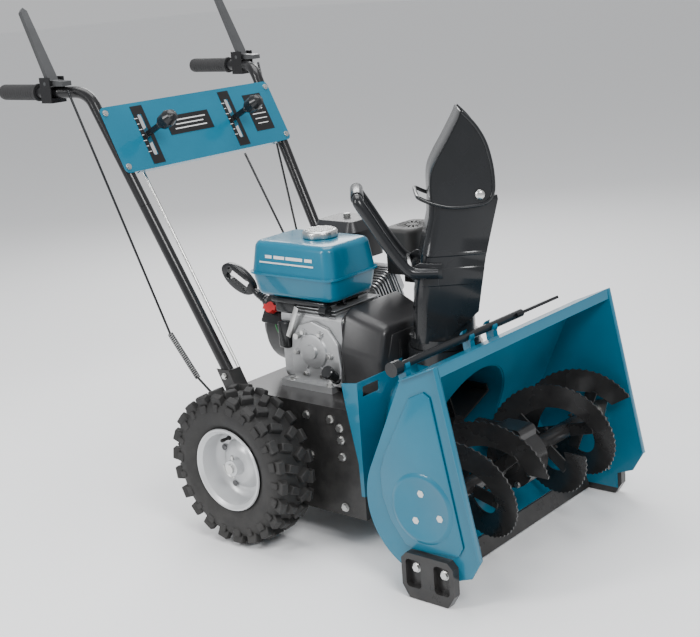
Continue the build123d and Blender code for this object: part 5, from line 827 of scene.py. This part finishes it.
def on_panel(x, y, lift=0.0):
    """A place on the panel's front face, in mm across, up and off the sheet."""
    return at(x, 330.8, 816) + (PANEL_OUT * (14.5 + lift) + PANEL_UP * y) / 1000.0


bm = bmesh.new()
for x in (-160, 105):
    for y, tall in ((58, 20), (-58, 20)):
        block(bm, (34, tall, 0.8), on_panel(x, y, 0.5), panel_turn, 0.3, 1)
    for dx in (-11.5, 11.5):
        block(bm, (11, 98, 0.8), on_panel(x + dx, 0, 0.5), panel_turn, 0.3, 1)
block(bm, (132, 44, 1.2), on_panel(-30, 10, 0.6), panel_turn, 0.4, 1)
block(bm, (60, 92, 0.8), on_panel(190, 4, 0.5), panel_turn, 0.3, 1)
put("panel_plates", bm, black_film, "machine")
bm = bmesh.new()
for x in (-160, 105):
    for count in range(7):
        block(bm, (6 if count % 2 else 9, 1.4, 0.4), on_panel(x - 14, -39 + 13 * count, 1.1), panel_turn)
for row, length in enumerate((104, 84, 96)):
    block(bm, (length, 2.6, 0.4), on_panel(-30, 20 - 10 * row, 1.4), panel_turn)
for row in range(6):
    block(bm, (44 - 5 * (row % 3), 2.0, 0.4), on_panel(190, 36 - 12 * row, 1.1), panel_turn)
put("panel_print", bm, white_ink, "machine")

# %% [markdown]
# ## Grips
# Moulded rubber grips have fine rings for the fingers and a rounded end. The profile is written once with
# its rings and spun about the bar.

# %% Grips
for side, sign in (("right", -1), ("left", 1)):
    bm = bmesh.new()
    profile = [(0, 12.6), (0, 18.4), (2, 19), (5, 19), (7, 17)]
    for ring in range(13):
        start = 12 + ring * 8
        profile += [(start, 17), (start + 1.2, 15.9), (start + 2.4, 15.9), (start + 3.6, 17)]
    profile += [(122, 17), (126, 16), (128, 12), (128, 0.01)]
    turned(bm, profile, at(sign * 290, 501, 927), (0, 1, 0), 36)
    put(f"grip_{side}", bm, foam, "machine", replaces=("grips",), sharp=25)

# %% [markdown]
# ## Springs on the clutch cables
# Each clutch cable ends in a long coil spring, which keeps the belt tight as it wears. A coil is a curve
# wound round the line of the cable.

# %% Cable springs
for side, sign in (("right", -1), ("left", 1)):
    top, foot = at(sign * 229, 238, 402), at(sign * 216, 178, 306)
    line = foot - top
    first = line.orthogonal().normalized()
    second = line.normalized().cross(first)
    coil = [top + line * (0.02 + 0.96 * k / 384)
            + (first * cos(tau * k / 16) + second * sin(tau * k / 16)) * 0.0058 for k in range(385)]
    wire(f"spring_{side}", coil, 0.95, spring_steel, "machine")

# %% [markdown]
# ## Starter grip and rope
# The pull grip is a long loop on a ribbed neck. The loop is a thick slab round a hand-sized slot, softened
# all round. The rope leaves the cover when the grip is pulled. Here it is a short thin line at the cover,
# baked in place on no body.

# %% Starter
pull = Vector((-0.05, 0.86, 0.50)).normalized()
exit_place = at(-44, 106, 438)
seat = exit_place + pull * 0.016
side_way = pull.cross(Vector((1, 0, 0))).normalized()
flat_way = side_way.cross(pull).normalized()
bm = bmesh.new()
turned(bm, [(0, 0.01), (0, 9.5), (3, 10.5), (6, 9), (9, 10.3), (12, 8.8), (15, 10.0), (18, 8.6), (21, 9.8),
            (24, 8.4), (27, 9.4), (30, 8), (38, 8), (38, 0.01)], seat, pull, 28)
outer = [(84 + 51 * cos(tau * k / 40), 27 * sin(tau * k / 40)) for k in range(40)]
inner = [(84 + 31 * max(-1, min(1, 1.25 * cos(tau * k / 40))), 12 * max(-1, min(1, 1.5 * sin(tau * k / 40))))
         for k in range(40)]
rings = []
for line, level in ((outer, -8.5), (outer, 8.5), (inner, 8.5), (inner, -8.5)):
    rings.append([bm.verts.new(seat + (pull * a + side_way * b + flat_way * level) / 1000) for a, b in line])
for low, high in zip(rings, rings[1:] + rings[:1]):
    for k in range(40):
        bm.faces.new((low[k], low[(k + 1) % 40], high[(k + 1) % 40], high[k]))
edges = [bm.edges.get(pair) for ring in rings for pair in zip(ring, ring[1:] + ring[:1])]
bmesh.ops.bevel(bm, geom=edges, offset=0.0042, offset_type="OFFSET", segments=3, profile=0.5, affect="EDGES",
                clamp_overlap=True, material=-1)
put("starter_skin", bm, black_plastic, "starter", replaces=("starter_grip",), sharp=45)

bm = bmesh.new()
turned(bm, [(step * 2.0 - 4, 1.9) for step in range(13)], exit_place, pull, 12)
bmesh.ops.holes_fill(bm, edges=[e for e in bm.edges if e.is_boundary], sides=0)
rope = put("starter_line", bm, belt_rubber, None)
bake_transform(rope)
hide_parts("starter_rope")

# %% [markdown]
# ## Engine dressing
# A bare block becomes an engine through its small parts: the carburettor with its bowl, the oil filler, a
# bolted side cover with its ribs, the governor arm, dark shrouds, and the fuel line and wires between them.

# %% Engine small parts
bm = bmesh.new()
block(bm, (40, 34, 36), at(62, 24, 498), soft=4, segments=2)
turned(bm, [(0, 0.01), (0, 15), (3, 17), (16, 17), (20, 13), (24, 4), (27, 4), (27, 0.01)], at(62, 24, 482),
       (0, 0, -1), 32)
put("carburettor", bm, cast_alloy, "machine")
bm = bmesh.new()
turned(bm, [(0, 0.01), (0, 13), (6, 13), (8, 11), (30, 11), (32, 14), (40, 14), (42, 12), (42, 0.01)],
       at(-108, -128, 318), (-0.8, 0, 0.6), 24)
put("oil_filler", bm, black_plastic, "machine")
bm = bmesh.new()
cover = [(-140, 300), (-144, 340), (-138, 392), (-112, 424), (-70, 436), (-34, 424), (-12, 396), (-8, 340),
         (-12, 300)]
slab(bm, [at(-103, y, z) for y, z in cover], Vector((-0.010, 0, 0)), 3.0, 3)
turned(bm, [(0, 0.01), (0, 38), (5, 36), (7, 30), (7, 16), (12, 14), (12, 0.01)], at(-112, -72, 372),
       (-1, 0, 0), 40)
for count in range(6):
    a = tau * count / 6
    place = at(-112, -72 + 46 * cos(a), 366 + 52 * sin(a))
    turned(bm, [(0, 0.01), (0, 7.5), (5, 7), (5, 0.01)], place, (-1, 0, 0), 20)
    block(bm, (4, 3.2, 34), at(-113.5, -72 + 28 * cos(a), 370 + 28 * sin(a)),
          Matrix.Rotation(a - pi / 2, 4, "X"), 1.0, 2)
for z in (440, 447, 454, 461):
    block(bm, (150, 128, 2.2), at(-28, -66, z), soft=0.8, segments=2)
put("crankcase_cover", bm, cast_alloy, "machine")
bm = bmesh.new()
for count in range(6):
    a = tau * count / 6
    turned(bm, [(0, 0.01), (0, 5.2), (4.4, 5.2), (5, 4.6), (5, 0.01)],
           at(-117, -72 + 46 * cos(a), 366 + 52 * sin(a)), (-1, 0, 0), 6)
block(bm, (2.4, 12, 74), at(-117, -22, 430), Matrix.Rotation(0.42, 4, "X"), 0.8, 2)
turned(bm, [(0, 0.01), (0, 7), (9, 7), (9, 0.01)], at(-116, -34, 402), (-1, 0, 0), 6)
put("crankcase_bolts", bm, zinc, "machine")
bm = bmesh.new()
block(bm, (150, 150, 10), at(-42, -40, 474), soft=3, segments=2)
block(bm, (46, 58, 30), at(-84, 6, 458), soft=6, segments=3)
block(bm, (26, 30, 60), at(-104, 10, 398), soft=6, segments=3)
turned(bm, [(-9, 0.01), (-9, 12), (9, 12), (9, 0.01)], at(-112, -112, 462), (0, 1, 0), 24)
put("engine_shrouds", bm, black_plastic, "machine")
wire("fuel_line", [at(-60, -120, 484), at(-70, -126, 470), at(-40, -110, 460), at(10, -40, 470),
                   at(50, 14, 492)], 3.2, black_plastic, "machine")
wire("plug_wire", [at(-30, 70, 462), at(40, 80, 500), at(90, 40, 470), at(140, -30, 486)], 3.4,
     black_plastic, "machine")
wire("switch_wire", [at(-88, 52, 424), at(-96, 40, 405), at(-92, 26, 385), at(-80, 24, 370)], 1.5,
     wire_white, "machine")
wire("earth_wire", [at(-86, 60, 424), at(-98, 46, 400), at(-90, 30, 378), at(-72, 26, 360)], 1.5,
     wire_green, "machine")

# %% [markdown]
# ## Finish
# The last cell measures the box round the whole model and prints it.

# %% Measure and close
low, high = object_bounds()
print("scene box", [round(v, 4) for v in low], [round(v, 4) for v in high])
